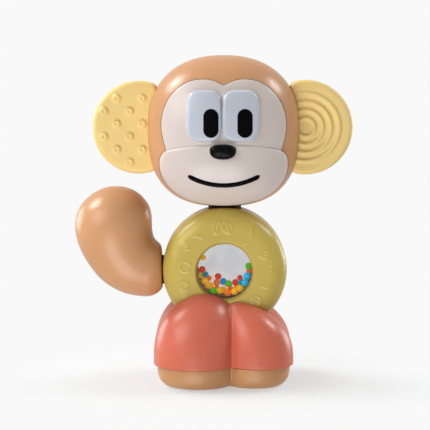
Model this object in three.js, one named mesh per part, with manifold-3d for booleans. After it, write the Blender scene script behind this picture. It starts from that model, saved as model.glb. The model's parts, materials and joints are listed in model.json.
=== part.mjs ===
// Magnetic stacking monkey: a baby's rattle and teether in four lift-apart sections.
// A pair of trousers on a flat sole carries an upright bead-filled ring in a saddle.
// The egg-shaped head sits on the ring and swivels, and the curled tail clings to its side.
// Units are millimetres, +Z is up, the face looks along -Y, the origin is the middle of the
// sole's flat underside.
import * as THREE from 'three';
import { mergeVertices } from 'three/addons/utils/BufferGeometryUtils.js';
import Module from 'manifold-3d';

const wasm = await Module();
wasm.setup();

// ---------- Driving dimensions ----------

const CLEARANCE = 0.3; // gap between pieces that touch
const SEAM = 0.15; // half the gap where two shell halves meet
const SHELL_WALL = 2.4;

const SOLE = { height: 10.4, inset: 2, edgeWidth: 6.2, edgeHeight: 8.4, lip: 2.4 };

const LEGS = {
  halfWidth: 34.6,
  halfLength: 14.4, // from the middle to the lobes' centres, front and rear
  bigLobe: 21.2, // radius of the front left and rear right lobes
  smallLobe: 17.5,
  topLeft: 52,
  topRight: 44,
  crown: 1.95, // superellipse powers of the domed top, across and up
  shoulder: 3.1,
  sideDip: 10, // how far the sides dip between front and rear lobes
};

const RING = {
  radius: 30.8,
  thickness: 35,
  edge: 9, // edge rounding
  seatHeight: 25.8, // lowest point of the ring above the floor
  offset: 0.6, // the ring sits slightly to one side of the head
};
const WINDOW = { radius: 14.5, flare: 1.3, collar: 1.7 };
const CHAMBER = { radius: 16.2, wall: 1.5 };

const HEAD = {
  halfWidth: 37.75,
  halfHeight: 37.4,
  halfDepth: 30,
  topPower: 2.3,
  bottomPower: 2.6,
  depthPower: 2.35,
  gap: 0.3, // daylight between head and ring
  faceLift: 0.4, // the face's middle above the egg's
};
const FACE = { sideRim: 7.4, topRim: 12.1, notch: 3.3, proud: 0.8, sunk: 0.9 };
const MUZZLE = { sideRim: 6.35, bottomRim: 0.4, top: -5.7, proud: 2.2 };
const EYES = {
  split: -0.9,
  gap: 0.3,
  widthLeft: 16.95,
  widthRight: 17.85,
  top: 20.2,
  bottom: -4.4,
  corner: 6,
  proud: 2.6,
};
const PUPIL = { width: 7.3, height: 13.8, left: -6.2, right: 10.1, z: 4.4, sunk: 1.2, proud: 0.4 };
const NOSE = { width: 12.6, height: 7.3, z: -9.3, x: -0.5, proud: 5 };
const SMILE = { z: -25.4, radius: 34.8, halfAngle: 28.5, width: 2, sunk: 1.2, proud: 0.2 };

const EAR = { thickness: 11, round: 2.8, root: 34.6, corner: 4, z: 1.4 };
const EAR_LEFT = { side: -1, reach: 42, radius: 23 };
const EAR_RIGHT = { side: 1, reach: 40.5, radius: 23.5 };
const TONGUE = { length: 8, halfHeight: 12, thickness: 6 };
const NUB = {
  radius: 2.1,
  height: 0.9,
  pitch: 6.3,
  shift: 1.8, // the grid's offset from the ear's centre, inwards and up
  margin: 4, // from an ear's rim to the furthest nub's centre
  rootMargin: 5.5,
};
const RIDGE = { width: 2.2, height: 0.9, pitch: 4.05, outer: 16.6, rootMargin: 4.6 };

const NECK = {
  radius: 8.2,
  rim: 1.5, // shell left around its bore in the head
  sunkInRing: 2.6,
  sunkInHead: 3.5,
  magnetRadius: 6,
  magnet: 3.5,
};
const TAIL_HUB = { radius: 7.2, sunkInRing: 2.3, sunkInTail: 3.9, magnetRadius: 5, magnet: 3 };
const SADDLE_MAGNET = { radius: 7, thickness: 3.5 };
const TAIL = { drop: 1, gap: 0.7 }; // axis below the ring's centre, daylight to the ring
const BOSS_WALL = 2.2;

// ---------- Worked-out places ----------

const RING_Z = RING.seatHeight + RING.radius;
const RING_TOP = RING_Z + RING.radius;
const HEAD_Z = RING_TOP + HEAD.gap + HEAD.halfHeight;
const FACE_Z = HEAD_Z + HEAD.faceLift;
const TAIL_Z = RING_Z - TAIL.drop;
const RING_SIDE = RING.offset - RING.radius;
const TAIL_FACE = RING_SIDE - TAIL.gap;
const BIG = 200;

// ---------- Finishes ----------

function finish(color, roughness, extra = {}) {
  return new THREE.MeshStandardMaterial({ color, roughness, metalness: 0, ...extra });
}

const FINISH = {
  tan: finish('#dcab7d', 0.5),
  cream: finish('#ddcec4', 0.5),
  eyeWhite: finish('#c6cad6', 0.45),
  black: finish('#080608', 0.25),
  ear: finish('#ecc886', 0.6),
  olive: finish('#cdb766', 0.5),
  coral: finish('#c86a52', 0.5),
  sole: finish('#bb8758', 0.5),
  hub: finish('#4a2b1a', 0.8),
  magnet: finish('#b4b6ba', 0.3, { metalness: 1 }),
  clear: finish('#e6e9f2', 0.1, { transparent: true, opacity: 0.35 }),
};

const BEAD_COLORS = {
  red: '#c8402a',
  orange: '#e0701c',
  amber: '#e2a11a',
  green: '#5a9a3a',
  blue: '#2c4fa8',
  cyan: '#2fa3c4',
  teal: '#1f8a86',
};

// ---------- Solids and meshes ----------

/** Turns a closed geometry into a solid with its faces pointing out. */
function solid(geometry) {
  const bare = geometry.clone();
  for (const name of ['normal', 'uv']) bare.deleteAttribute(name);
  const merged = mergeVertices(bare, 1e-4);
  const index = merged.index.array;
  const points = merged.attributes.position.array;
  const faces = [];
  let volume = 0;
  const corner = (i) => new THREE.Vector3().fromArray(points, 3 * i);
  for (let i = 0; i < index.length; i += 3) {
    const [a, b, c] = [index[i], index[i + 1], index[i + 2]];
    if (a === b || b === c || c === a) continue;
    faces.push(a, b, c);
    volume += corner(a).dot(corner(b).cross(corner(c)));
  }
  if (volume < 0) faces.reverse();
  return new wasm.Manifold(new wasm.Mesh({
    numProp: 3,
    vertProperties: new Float32Array(points),
    triVerts: new Uint32Array(faces),
  }));
}

/** Turns a solid back into a geometry for a mesh. */
function geometryOf(manifold) {
  const mesh = manifold.getMesh();
  const geometry = new THREE.BufferGeometry();
  geometry.setAttribute('position', new THREE.BufferAttribute(mesh.vertProperties, 3));
  geometry.setIndex(new THREE.BufferAttribute(mesh.triVerts, 1));
  geometry.computeVertexNormals();
  return geometry;
}

/** Joins any number of solids into one. */
function join(...solids) {
  return solids.reduce((whole, next) => whole.add(next));
}

/** Cuts any number of solids from the first. */
function cut(body, ...tools) {
  return tools.reduce((rest, tool) => rest.subtract(tool), body);
}

/** A closed skin through rings of equal point count, with a fan at each end. */
function loft(rings, startTip = middle(rings[0]), endTip = middle(rings.at(-1))) {
  const count = rings[0].length;
  const points = [...rings.flat(), startTip, endTip];
  const [start, end] = [points.length - 2, points.length - 1];
  const last = (rings.length - 1) * count;
  const faces = [];
  for (let i = 0; i < count; i += 1) {
    const j = (i + 1) % count;
    faces.push(start, j, i, end, last + i, last + j);
    for (let row = 0; row < last; row += count) {
      faces.push(row + i, row + j, row + count + i, row + j, row + count + j, row + count + i);
    }
  }
  const geometry = new THREE.BufferGeometry().setFromPoints(points);
  geometry.setIndex(faces);
  return solid(geometry);
}

function middle(ring) {
  const sum = ring.reduce((total, point) => total.add(point), new THREE.Vector3());
  return sum.divideScalar(ring.length);
}

/** A box between two corners. */
function block(low, high) {
  const size = high.map((value, i) => value - low[i]);
  const geometry = new THREE.BoxGeometry(...size);
  geometry.translate(...low.map((value, i) => value + size[i] / 2));
  return solid(geometry);
}

/** A round bar along an axis, from one station to the next, about a centre. */
function bar(axis, radius, from, to, centre, sides = 20) {
  const geometry = new THREE.CylinderGeometry(radius, radius, Math.abs(to - from), sides);
  geometry.translate(0, (from + to) / 2, 0);
  if (axis === 'x') geometry.rotateZ(-Math.PI / 2);
  if (axis === 'z') geometry.rotateX(Math.PI / 2);
  return solid(geometry.translate(...centre));
}

/** Extrudes an outline in the X-Z plane between two stations along Y. */
function prism(outline, yFrom, yTo) {
  const shape = new THREE.Shape(outline);
  const geometry = new THREE.ExtrudeGeometry(shape, { depth: yTo - yFrom, bevelEnabled: false });
  return solid(geometry.rotateX(Math.PI / 2).translate(0, yTo, 0));
}

/** Points on an arc, angles in degrees. */
function arc(x, z, radius, from, to, steps) {
  return Array.from({ length: steps + 1 }, (_, i) => {
    const angle = THREE.MathUtils.degToRad(from + ((to - from) * i) / steps);
    return new THREE.Vector2(x + radius * Math.cos(angle), z + radius * Math.sin(angle));
  });
}

/** Moves a closed outline outwards by a distance. */
function grown(outline, distance) {
  const turn = THREE.ShapeUtils.isClockWise(outline) ? -1 : 1;
  return outline.map((point, i) => {
    const before = outline.at(i - 1);
    const after = outline[(i + 1) % outline.length];
    const along = after.clone().sub(before).normalize();
    return new THREE.Vector2(point.x + turn * along.y * distance,
      point.y - turn * along.x * distance);
  });
}

const FRONT = block([-BIG, -BIG, -BIG], [BIG, -SEAM, BIG]);
const BACK = block([-BIG, SEAM, -BIG], [BIG, BIG, BIG]);

const monkey = new THREE.Group();

/** Adds one named piece to the monkey. */
function piece(name, manifold, material) {
  const mesh = new THREE.Mesh(geometryOf(manifold), material);
  mesh.name = name;
  monkey.add(mesh);
}

/** Adds a shell as two halves that meet at the middle plane. */
function halves(name, shell, material) {
  piece(`${name}_front_shell`, shell.intersect(FRONT), material);
  piece(`${name}_back_shell`, shell.intersect(BACK), material);
}

// ---------- Sole and trousers ----------

/** Distance from the centre to the outline of two parallel rounded legs. */
function legReach(angle) {
  const [c, s] = [Math.cos(angle), Math.sin(angle)];
  const straight = LEGS.halfWidth * Math.abs(s) <= LEGS.halfLength * Math.abs(c);
  const sides = [straight ? LEGS.halfWidth / Math.abs(c) : 0];
  for (const [across, away, radius] of [
    [-1, -1, LEGS.bigLobe], [1, 1, LEGS.bigLobe], [1, -1, LEGS.smallLobe], [-1, 1, LEGS.smallLobe],
  ]) {
    const [x, y] = [across * (LEGS.halfWidth - radius), away * LEGS.halfLength];
    const along = x * c + y * s;
    const depthSquared = radius ** 2 - (x ** 2 + y ** 2 - along ** 2);
    if (depthSquared > 0) sides.push(along + Math.sqrt(depthSquared));
  }
  return Math.max(...sides);
}

/** One level ring of the legs' outline, pulled in and scaled, at a height given by angle. */
function legRing(inset, scale, heightAt, sides = 42) {
  return Array.from({ length: sides }, (_, i) => {
    const angle = (2 * Math.PI * i) / sides;
    const reach = (legReach(angle) - inset) * scale;
    return new THREE.Vector3(reach * Math.cos(angle), reach * Math.sin(angle), heightAt(angle));
  });
}

/** Height of the domed top in each direction, before the ring's saddle is cut. */
function legTop(angle) {
  const mean = (LEGS.topLeft + LEGS.topRight) / 2;
  const tilt = (LEGS.topLeft - LEGS.topRight) / 2;
  return mean - tilt * Math.cos(angle) - LEGS.sideDip * Math.abs(Math.cos(angle)) ** 6;
}

/** The trousers' dome from a base height up, pulled in all over by an inset. */
function trouserDome(inset, base, levels = 7) {
  const rings = [];
  for (let i = 0; i < levels; i += 1) {
    const lean = (0.5 * Math.PI * i) / levels;
    const scale = Math.cos(lean) ** (2 / LEGS.crown);
    const rise = Math.sin(lean) ** (2 / LEGS.shoulder);
    rings.push(legRing(inset, scale, (angle) => base + (legTop(angle) - inset - base) * rise));
  }
  const top = (LEGS.topLeft + LEGS.topRight) / 2 - inset;
  return loft(rings, middle(rings[0]), new THREE.Vector3(0, 0, top));
}

/** The ring's outer body as a plain disc with rounded edges, grown all over. */
function ringDisc(grow, sides = 40) {
  const half = RING.thickness / 2;
  const [flat, deep] = [RING.radius - RING.edge, half - RING.edge];
  const low = arc(flat, -deep, RING.edge + grow, -90, 0, 4);
  const high = arc(flat, deep, RING.edge + grow, 0, 90, 4);
  const ends = [new THREE.Vector2(0, -half - grow), new THREE.Vector2(0, half + grow)];
  const profile = [ends[0], ...low, ...high, ends[1]];
  return solid(new THREE.LatheGeometry(profile, sides).translate(RING.offset, 0, RING_Z));
}

function buildLegs() {
  const rims = arc(1, 1, 1, 270, 180, 4).map((point) => legRing(
    SOLE.inset + point.x * SOLE.edgeWidth, 1, () => point.y * SOLE.edgeHeight));
  const soleTop = SOLE.height - CLEARANCE;
  const lipInset = SHELL_WALL + 2 * CLEARANCE;
  const sole = loft([
    ...rims,
    legRing(SOLE.inset, 1, () => soleTop),
    legRing(lipInset, 1, () => soleTop),
    legRing(lipInset, 1, () => soleTop + SOLE.lip),
  ]);
  piece('sole', sole, FINISH.sole);

  const saddle = ringDisc(CLEARANCE);
  const magnet = SADDLE_MAGNET;
  const ceiling = RING.seatHeight - CLEARANCE - BOSS_WALL;
  const centre = [RING.offset, 0, 0];
  const floor = ceiling - magnet.thickness - CLEARANCE;
  const boss = bar('z', magnet.radius + BOSS_WALL, floor, RING_Z, centre);
  const pocket = bar('z', magnet.radius + CLEARANCE, 0, ceiling, centre);
  const hollow = trouserDome(SHELL_WALL, SOLE.height - 1)
    .subtract(ringDisc(CLEARANCE + SHELL_WALL)).subtract(boss);
  const trousers = cut(trouserDome(0, SOLE.height), saddle, hollow, pocket);
  piece('trousers', trousers, FINISH.coral);
  piece('saddle_magnet', bar('z', magnet.radius, floor, ceiling - CLEARANCE, centre),
    FINISH.magnet);
}

// ---------- Ring, bead chamber and beads ----------

/** A ring magnet's place: stations along its axis, measured out from the ring's centre. */
function magnetStations(hubSunk, magnet) {
  const hubFloor = RING.radius - hubSunk - CLEARANCE;
  const outer = hubFloor - CLEARANCE;
  return { hubFloor, outer, inner: outer - magnet, floor: outer - magnet - CLEARANCE };
}

function buildRing() {
  const centre = [RING.offset, 0, RING_Z];
  const tailCentre = [RING.offset, 0, TAIL_Z];
  const disc = ringDisc(0);
  const half = RING.thickness / 2;
  const collarRadius = CHAMBER.radius + CLEARANCE;
  const neck = magnetStations(NECK.sunkInRing, NECK.magnet);
  const side = magnetStations(TAIL_HUB.sunkInRing, TAIL_HUB.magnet);
  const seat = magnetStations(BOSS_WALL - CLEARANCE, SADDLE_MAGNET.thickness);

  const bosses = join(
    bar('z', NECK.radius + BOSS_WALL, neck.floor - BOSS_WALL, RING.radius, centre),
    bar('x', TAIL_HUB.radius + BOSS_WALL, -RING.radius, BOSS_WALL - side.floor, tailCentre),
    bar('z', SADDLE_MAGNET.radius + BOSS_WALL, -RING.radius, -seat.inner, centre),
  ).intersect(disc);
  const collar = bar('y', collarRadius + WINDOW.collar, -half + 1, half - 1, centre, 32);
  const hollow = cut(ringDisc(-SHELL_WALL), bosses, collar);
  const bore = WINDOW.radius - WINDOW.flare;
  const outlet = [
    new THREE.Vector2(0, -half - 1),
    new THREE.Vector2(WINDOW.radius + WINDOW.flare / 2, -half - 1),
    new THREE.Vector2(bore, -half + SHELL_WALL),
    new THREE.Vector2(bore, half - SHELL_WALL),
    new THREE.Vector2(WINDOW.radius + WINDOW.flare / 2, half + 1),
    new THREE.Vector2(0, half + 1),
  ];
  const window = solid(new THREE.LatheGeometry(outlet, 32).translate(...centre));
  const lens = half - SHELL_WALL - CLEARANCE;
  const room = bar('y', collarRadius, -lens - CLEARANCE, lens + CLEARANCE, centre, 32);
  const grip = CLEARANCE;
  const shell = cut(
    disc, hollow, window, room,
    bar('z', NECK.radius + grip, neck.hubFloor, BIG, centre),
    bar('z', NECK.magnetRadius + grip, neck.floor, BIG, centre),
    bar('x', TAIL_HUB.radius + grip, -BIG, -side.hubFloor, tailCentre),
    bar('x', TAIL_HUB.magnetRadius + grip, -BIG, -side.floor, tailCentre),
    bar('z', SADDLE_MAGNET.radius + grip, -seat.hubFloor, -seat.inner + 1, centre),
  );
  halves('ring', shell, FINISH.olive);
  piece('ring_neck_magnet', bar('z', NECK.magnetRadius, neck.inner, neck.outer, centre),
    FINISH.magnet);
  piece('ring_tail_magnet', bar('x', TAIL_HUB.magnetRadius, -side.outer, -side.inner, tailCentre),
    FINISH.magnet);
  piece('ring_seat_magnet', bar('z', SADDLE_MAGNET.radius, -seat.outer, -seat.inner, centre),
    FINISH.magnet);

  const cup = cut(
    bar('y', CHAMBER.radius, -lens, lens, centre, 32),
    bar('y', CHAMBER.radius - CHAMBER.wall, CHAMBER.wall - lens, lens - CHAMBER.wall, centre, 32),
  );
  piece('bead_chamber_front', cup.intersect(FRONT), FINISH.clear);
  piece('bead_chamber_back', cup.intersect(BACK), FINISH.clear);
}

// Loose beads settled in the chamber: angle in degrees from straight down, distance from the
// chamber's wall, place along its axis, size and colour. The beads of one layer tumble together.
const BEAD_RADIUS = { small: 1.4, large: 1.7 };
const BEAD_GAP = 0.2;
const BEAD_LAYERS = {
  front: {
    y: -8.6,
    beads: [
      [-61, 1.4, -1.2, 'large', 'amber'],
      [-45.7, 1.4, 1, 'large', 'amber'],
      [-28.5, 0.8, 0, 'large', 'green'],
      [-13, 1.8, 2, 'large', 'amber'],
      [7, 1.1, 0, 'large', 'orange'],
      [24, 0.9, -1, 'large', 'amber'],
      [38, 0.6, 1.5, 'large', 'amber'],
      [56.5, 0.8, 0, 'large', 'cyan'],
      [73, 1.2, 1.5, 'large', 'cyan'],
    ],
  },
  middle: {
    y: 0,
    beads: [
      [-114, 1.3, 0, 'small', 'amber'],
      [-85, 1.5, -1, 'large', 'red'],
      [-68, 2.3, 1.5, 'large', 'teal'],
      [-56, 3.6, -1.6, 'small', 'orange'],
      [-35, 7, 0.6, 'large', 'red'],
      [-28, 4.4, -2, 'large', 'orange'],
      [-5.5, 5.5, 0.6, 'large', 'blue'],
      [14.5, 4.5, -2, 'large', 'green'],
      [35, 3.3, 1, 'large', 'red'],
      [47, 2.2, -2, 'small', 'teal'],
      [54, 3.6, 2.2, 'small', 'red'],
      [93, 0.7, 0, 'large', 'green'],
    ],
  },
  back: {
    y: 8.6,
    beads: [
      [-66, 0.2, 0, 'large', 'amber'],
      [-50, 0.2, 0, 'large', 'red'],
      [-34, 0.2, 0, 'large', 'amber'],
      [-18, 0.2, 0, 'large', 'orange'],
      [-2, 0.2, 0, 'large', 'amber'],
      [14, 0.2, 0, 'large', 'orange'],
      [30, 0.2, 0, 'large', 'amber'],
      [46, 0.2, 0, 'large', 'green'],
      [62, 0.2, 0, 'large', 'cyan'],
      [76, 0.4, 1.4, 'small', 'orange'],
      [6, 3.6, 0, 'large', 'amber'],
    ],
  },
};

function buildBeads() {
  const wall = CHAMBER.radius - CHAMBER.wall;
  for (const [layer, { y, beads }] of Object.entries(BEAD_LAYERS)) {
    beads.forEach(([degrees, fromWall, along, size, color], i) => {
      const radius = BEAD_RADIUS[size];
      const reach = wall - radius - BEAD_GAP - fromWall;
      const angle = THREE.MathUtils.degToRad(degrees);
      const bead = new THREE.Mesh(new THREE.SphereGeometry(radius, 8, 6),
        finish(BEAD_COLORS[color], 0.3));
      bead.geometry.deleteAttribute('normal');
      bead.geometry.deleteAttribute('uv');
      bead.geometry = geometryOf(solid(bead.geometry));
      bead.position.set(RING.offset + reach * Math.sin(angle), y + along,
        RING_Z - reach * Math.cos(angle));
      bead.name = `bead_${layer}_${i + 1}`;
      monkey.add(bead);
    });
  }
}

// ---------- Neck and tail hubs ----------

/** A dark magnet holder along an axis, with the magnet's pocket in its outer end. */
function hub(axis, size, centre, from, to, magnetDepth) {
  const away = Math.sign(to - from);
  const pocketFloor = to - away * (magnetDepth + CLEARANCE);
  return cut(
    bar(axis, size.radius, from, to, centre),
    bar(axis, size.magnetRadius + CLEARANCE, pocketFloor, to + away, centre),
  );
}

function buildHubs() {
  const centre = [RING.offset, 0, 0];
  const neckTop = HEAD_Z - HEAD.halfHeight + NECK.sunkInHead;
  const neckBottom = RING_TOP - NECK.sunkInRing;
  piece('neck_hub', hub('z', NECK, centre, neckBottom, neckTop, NECK.magnet), FINISH.hub);
  piece('neck_magnet', bar('z', NECK.magnetRadius, neckTop - NECK.magnet, neckTop, centre),
    FINISH.magnet);

  const tailCentre = [0, 0, TAIL_Z];
  const tailInner = RING_SIDE + TAIL_HUB.sunkInRing;
  const tailOuter = TAIL_FACE - TAIL_HUB.sunkInTail;
  piece('tail_hub', hub('x', TAIL_HUB, tailCentre, tailInner, tailOuter, TAIL_HUB.magnet),
    FINISH.hub);
  piece('tail_magnet', bar('x', TAIL_HUB.magnetRadius, tailOuter, tailOuter + TAIL_HUB.magnet,
    tailCentre), FINISH.magnet);
}

// ---------- Head ----------

/** Distance from the head's middle to its front outline, in a direction. */
function headReach(angle, grow) {
  const [c, s] = [Math.cos(angle), Math.sin(angle)];
  const blend = (1 + s) / 2;
  const power = HEAD.bottomPower + (HEAD.topPower - HEAD.bottomPower) * blend;
  const across = Math.abs(c / (HEAD.halfWidth + grow)) ** power;
  const up = Math.abs(s / (HEAD.halfHeight + grow)) ** power;
  return (across + up) ** (-1 / power);
}

/** The egg-shaped head, grown all over by a distance. */
function headEgg(grow, around = 36, along = 12) {
  const depth = HEAD.halfDepth + grow;
  const rings = [];
  for (let row = 1; row < along; row += 1) {
    const lean = Math.PI * (row / along - 0.5);
    const y = depth * Math.sign(lean) * Math.abs(Math.sin(lean)) ** (2 / HEAD.depthPower);
    const scale = Math.cos(lean) ** (2 / HEAD.depthPower);
    rings.push(Array.from({ length: around }, (_, i) => {
      const angle = (2 * Math.PI * i) / around;
      const reach = headReach(angle, grow) * scale;
      return new THREE.Vector3(reach * Math.cos(angle), y, HEAD_Z + reach * Math.sin(angle));
    }));
  }
  return loft(rings, new THREE.Vector3(0, -depth, HEAD_Z), new THREE.Vector3(0, depth, HEAD_Z));
}

/** Half an outline mirrored to the other side of the middle and lifted to the head. */
function mirrored(half) {
  const other = half.map((point) => new THREE.Vector2(-point.x, point.y)).reverse();
  return [...half, ...other.filter((point) => Math.abs(point.x) > 0.01)]
    .map((point) => new THREE.Vector2(point.x, point.y + FACE_Z));
}

/** The heart-topped outline of the face plate. */
function faceOutline() {
  const side = HEAD.halfWidth - FACE.sideRim;
  const top = HEAD.halfHeight - FACE.topRim;
  const lobe = side / 3;
  const path = new THREE.Path();
  path.moveTo(0, top - FACE.notch);
  path.bezierCurveTo(lobe * 0.3, top - 1, lobe * 0.6, top, lobe, top);
  path.bezierCurveTo(side * 0.75, top, side, top * 0.55, side, top * 0.13);
  path.bezierCurveTo(side, -top * 0.05, side * 0.96, -top * 0.2, side * 0.92, MUZZLE.top - 3);
  return mirrored(path.getPoints(6));
}

/** The wide outline of the muzzle. */
function muzzleOutline() {
  const side = HEAD.halfWidth - MUZZLE.sideRim;
  const bottom = MUZZLE.bottomRim - HEAD.halfHeight;
  const cheek = MUZZLE.top - 10;
  const path = new THREE.Path();
  path.moveTo(0, MUZZLE.top);
  path.bezierCurveTo(side * 0.3, MUZZLE.top, side * 0.6, MUZZLE.top - 1, side * 0.86, cheek + 6.8);
  path.bezierCurveTo(side * 0.97, cheek + 6, side, cheek + 3, side, cheek);
  path.bezierCurveTo(side, cheek - 12, side * 0.62, bottom, 0, bottom);
  return mirrored(path.getPoints(6));
}

/** A rounded rectangle with its own corner radius. */
function roundedPlate(left, right, bottom, top, corner) {
  const [l, r] = [left + corner, right - corner];
  const [b, t] = [bottom + corner, top - corner];
  return [
    ...arc(r, t, corner, 0, 90, 4), ...arc(l, t, corner, 90, 180, 4),
    ...arc(l, b, corner, 180, 270, 4), ...arc(r, b, corner, 270, 360, 4),
  ].map((point) => new THREE.Vector2(point.x, point.y + FACE_Z));
}

/** A slim upright pill. */
function pillOutline(x) {
  const radius = PUPIL.width / 2;
  const rise = PUPIL.height / 2 - radius;
  return [
    ...arc(x, FACE_Z + PUPIL.z + rise, radius, 0, 180, 7),
    ...arc(x, FACE_Z + PUPIL.z - rise, radius, 180, 360, 7),
  ];
}

/** The nose's outline, a superellipse that is wider at its top. */
function noseOutline() {
  return Array.from({ length: 18 }, (_, i) => {
    const angle = (2 * Math.PI * i) / 18;
    const [c, s] = [Math.cos(angle), Math.sin(angle)];
    const x = NOSE.x + (NOSE.width / 2) * Math.sign(c) * Math.abs(c) ** 0.8 * (1 + 0.1 * s);
    const z = (NOSE.height / 2) * Math.sign(s) * Math.abs(s) ** 0.8;
    return new THREE.Vector2(x, FACE_Z + NOSE.z + z);
  });
}

/** The curved line of the mouth as a thin band with round ends. */
function smileOutline() {
  const centre = FACE_Z + SMILE.z + SMILE.radius;
  const [low, high] = [270 - SMILE.halfAngle, 270 + SMILE.halfAngle];
  const half = SMILE.width / 2;
  return [
    ...arc(0, centre, SMILE.radius + half, low, high, 8),
    ...arc(0, centre, SMILE.radius - half, high, low, 8),
  ];
}

function buildFace(shell, neckRoom) {
  const front = (outline) => prism(outline, -BIG, -1);
  const floor = headEgg(-FACE.sunk);
  const recessFloor = headEgg(-FACE.sunk - CLEARANCE);
  const [face, muzzle] = [faceOutline(), muzzleOutline()];
  const eyes = {
    left: roundedPlate(EYES.split - EYES.gap / 2 - EYES.widthLeft, EYES.split - EYES.gap / 2,
      EYES.bottom, EYES.top, EYES.corner),
    right: roundedPlate(EYES.split + EYES.gap / 2, EYES.split + EYES.gap / 2 + EYES.widthRight,
      EYES.bottom, EYES.top, EYES.corner),
  };
  const pupils = { left: pillOutline(PUPIL.left), right: pillOutline(PUPIL.right) };
  const nose = noseOutline();
  const smile = smileOutline();
  const wide = (outline) => front(grown(outline, CLEARANCE));

  const plate = front(face).intersect(headEgg(FACE.proud)).subtract(floor);
  piece('face_plate', cut(plate, wide(muzzle), wide(eyes.left), wide(eyes.right)), FINISH.cream);

  const snout = front(muzzle).intersect(headEgg(MUZZLE.proud)).subtract(floor);
  const groove = wide(smile).subtract(headEgg(MUZZLE.proud - SMILE.sunk));
  piece('muzzle', cut(snout, wide(nose), groove, neckRoom), FINISH.cream);
  piece('nose', front(nose).intersect(headEgg(NOSE.proud)).subtract(floor), FINISH.black);
  const line = front(smile).intersect(headEgg(MUZZLE.proud + SMILE.proud));
  piece('smile', line.subtract(headEgg(MUZZLE.proud - SMILE.sunk + CLEARANCE)), FINISH.black);

  const pupilFloor = EYES.proud - PUPIL.sunk;
  for (const [name, outline] of Object.entries(eyes)) {
    const pad = front(outline).intersect(headEgg(EYES.proud)).subtract(floor);
    const well = wide(pupils[name]).subtract(headEgg(pupilFloor));
    piece(`eye_plate_${name}`, cut(pad, well, wide(muzzle)), FINISH.eyeWhite);
    const pupil = front(pupils[name]).intersect(headEgg(EYES.proud + PUPIL.proud));
    piece(`pupil_${name}`, pupil.subtract(headEgg(pupilFloor + CLEARANCE)), FINISH.black);
  }
  const recess = wide(face).add(wide(muzzle)).subtract(recessFloor).subtract(neckRoom);
  return shell.subtract(recess);
}

function buildHead() {
  const sockets = [EAR_LEFT, EAR_RIGHT].map((ear) => earSocket(ear));
  const shell = cut(headEgg(0), headEgg(-SHELL_WALL, 24, 8), ...sockets);
  const boreTop = HEAD_Z - HEAD.halfHeight + NECK.sunkInHead + CLEARANCE + 1;
  const boreRadius = NECK.radius + CLEARANCE;
  const centre = [RING.offset, 0, 0];
  const neckBore = bar('z', boreRadius, 0, boreTop, centre);
  const neckRoom = bar('z', boreRadius + NECK.rim, 0, boreTop, centre);
  halves('head', cut(buildFace(shell, neckRoom), neckBore), FINISH.tan);
}

// ---------- Ears ----------

/** The D-shaped outline of an ear, flat at its root. */
function earOutline(ear, grow) {
  const centreX = ear.reach;
  const cornerX = EAR.root + EAR.corner;
  const cornerZ = Math.sqrt((ear.radius - EAR.corner) ** 2 - (cornerX - centreX) ** 2);
  const open = THREE.MathUtils.radToDeg(Math.atan2(cornerZ, cornerX - centreX));
  const points = [
    ...arc(centreX, 0, ear.radius + grow, -open, open, 22),
    ...arc(cornerX, cornerZ, EAR.corner + grow, open, 180, 4).slice(1),
    ...arc(cornerX, -cornerZ, EAR.corner + grow, 180, 360 - open, 4).slice(0, -1),
  ];
  return points.map((point) => new THREE.Vector2(ear.side * point.x, FACE_Z + EAR.z + point.y));
}

/** The tongue that anchors an ear inside the head. */
function earTongue(ear, grow) {
  const [near, far] = [EAR.root - TONGUE.length - grow, EAR.root + EAR.corner];
  const half = TONGUE.thickness / 2 + grow;
  const z = FACE_Z + EAR.z;
  const tall = TONGUE.halfHeight + grow;
  const xs = ear.side < 0 ? [-far, -near] : [near, far];
  return block([xs[0], -half, z - tall], [xs[1], half, z + tall]);
}

/** The opening in the head's seam for an ear and its tongue. */
function earSocket(ear) {
  const half = EAR.thickness / 2 + CLEARANCE;
  return prism(earOutline(ear, CLEARANCE), -half, half).add(earTongue(ear, CLEARANCE));
}

/** An ear's plain plate with rounded edges and its tongue. */
function earPlate(ear) {
  const shape = new THREE.Shape(earOutline(ear, 0));
  const depth = EAR.thickness - 2 * EAR.round;
  const geometry = new THREE.ExtrudeGeometry(shape, {
    depth, bevelThickness: EAR.round, bevelSize: EAR.round, bevelOffset: -EAR.round,
    bevelSegments: 2,
  });
  return solid(geometry.rotateX(Math.PI / 2).translate(0, depth / 2, 0))
    .add(earTongue(ear, 0));
}

/** Staggered round nubs on both faces of an ear. */
function nubs(ear) {
  const half = EAR.thickness / 2;
  const room = ear.radius - NUB.margin;
  const rows = Math.ceil(room / NUB.pitch);
  const found = [];
  for (let row = -rows; row <= rows; row += 1) {
    for (let column = -rows; column <= rows; column += 1) {
      const [x, z] = [column * NUB.pitch - NUB.shift, row * NUB.pitch + NUB.shift];
      const clear = ear.reach + x > EAR.root + NUB.rootMargin;
      if ((row + column) % 2 !== 0 || !clear || Math.hypot(x, z) > room) continue;
      const centre = [ear.side * (ear.reach + x), 0, FACE_Z + EAR.z + z];
      found.push(bar('y', NUB.radius, -half - NUB.height, half + NUB.height, centre, 8));
    }
  }
  return found;
}

/** Concentric curved ridges on both faces of an ear. */
function ridges(ear) {
  const half = EAR.thickness / 2 + RIDGE.height;
  const start = EAR.root + RIDGE.rootMargin;
  const found = [];
  for (let radius = RIDGE.outer; radius > RIDGE.pitch; radius -= RIDGE.pitch) {
    const open = 180 - THREE.MathUtils.radToDeg(Math.acos(Math.min(1, (ear.reach - start) / radius)));
    const steps = Math.max(6, Math.round(radius * 0.8));
    const band = [
      ...arc(0, 0, radius + RIDGE.width / 2, -open, open, steps),
      ...arc(0, 0, radius - RIDGE.width / 2, open, -open, steps),
    ].map((point) => new THREE.Vector2(ear.side * (ear.reach + point.x),
      FACE_Z + EAR.z + point.y));
    found.push(prism(band, -half, half));
  }
  return found;
}

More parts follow.
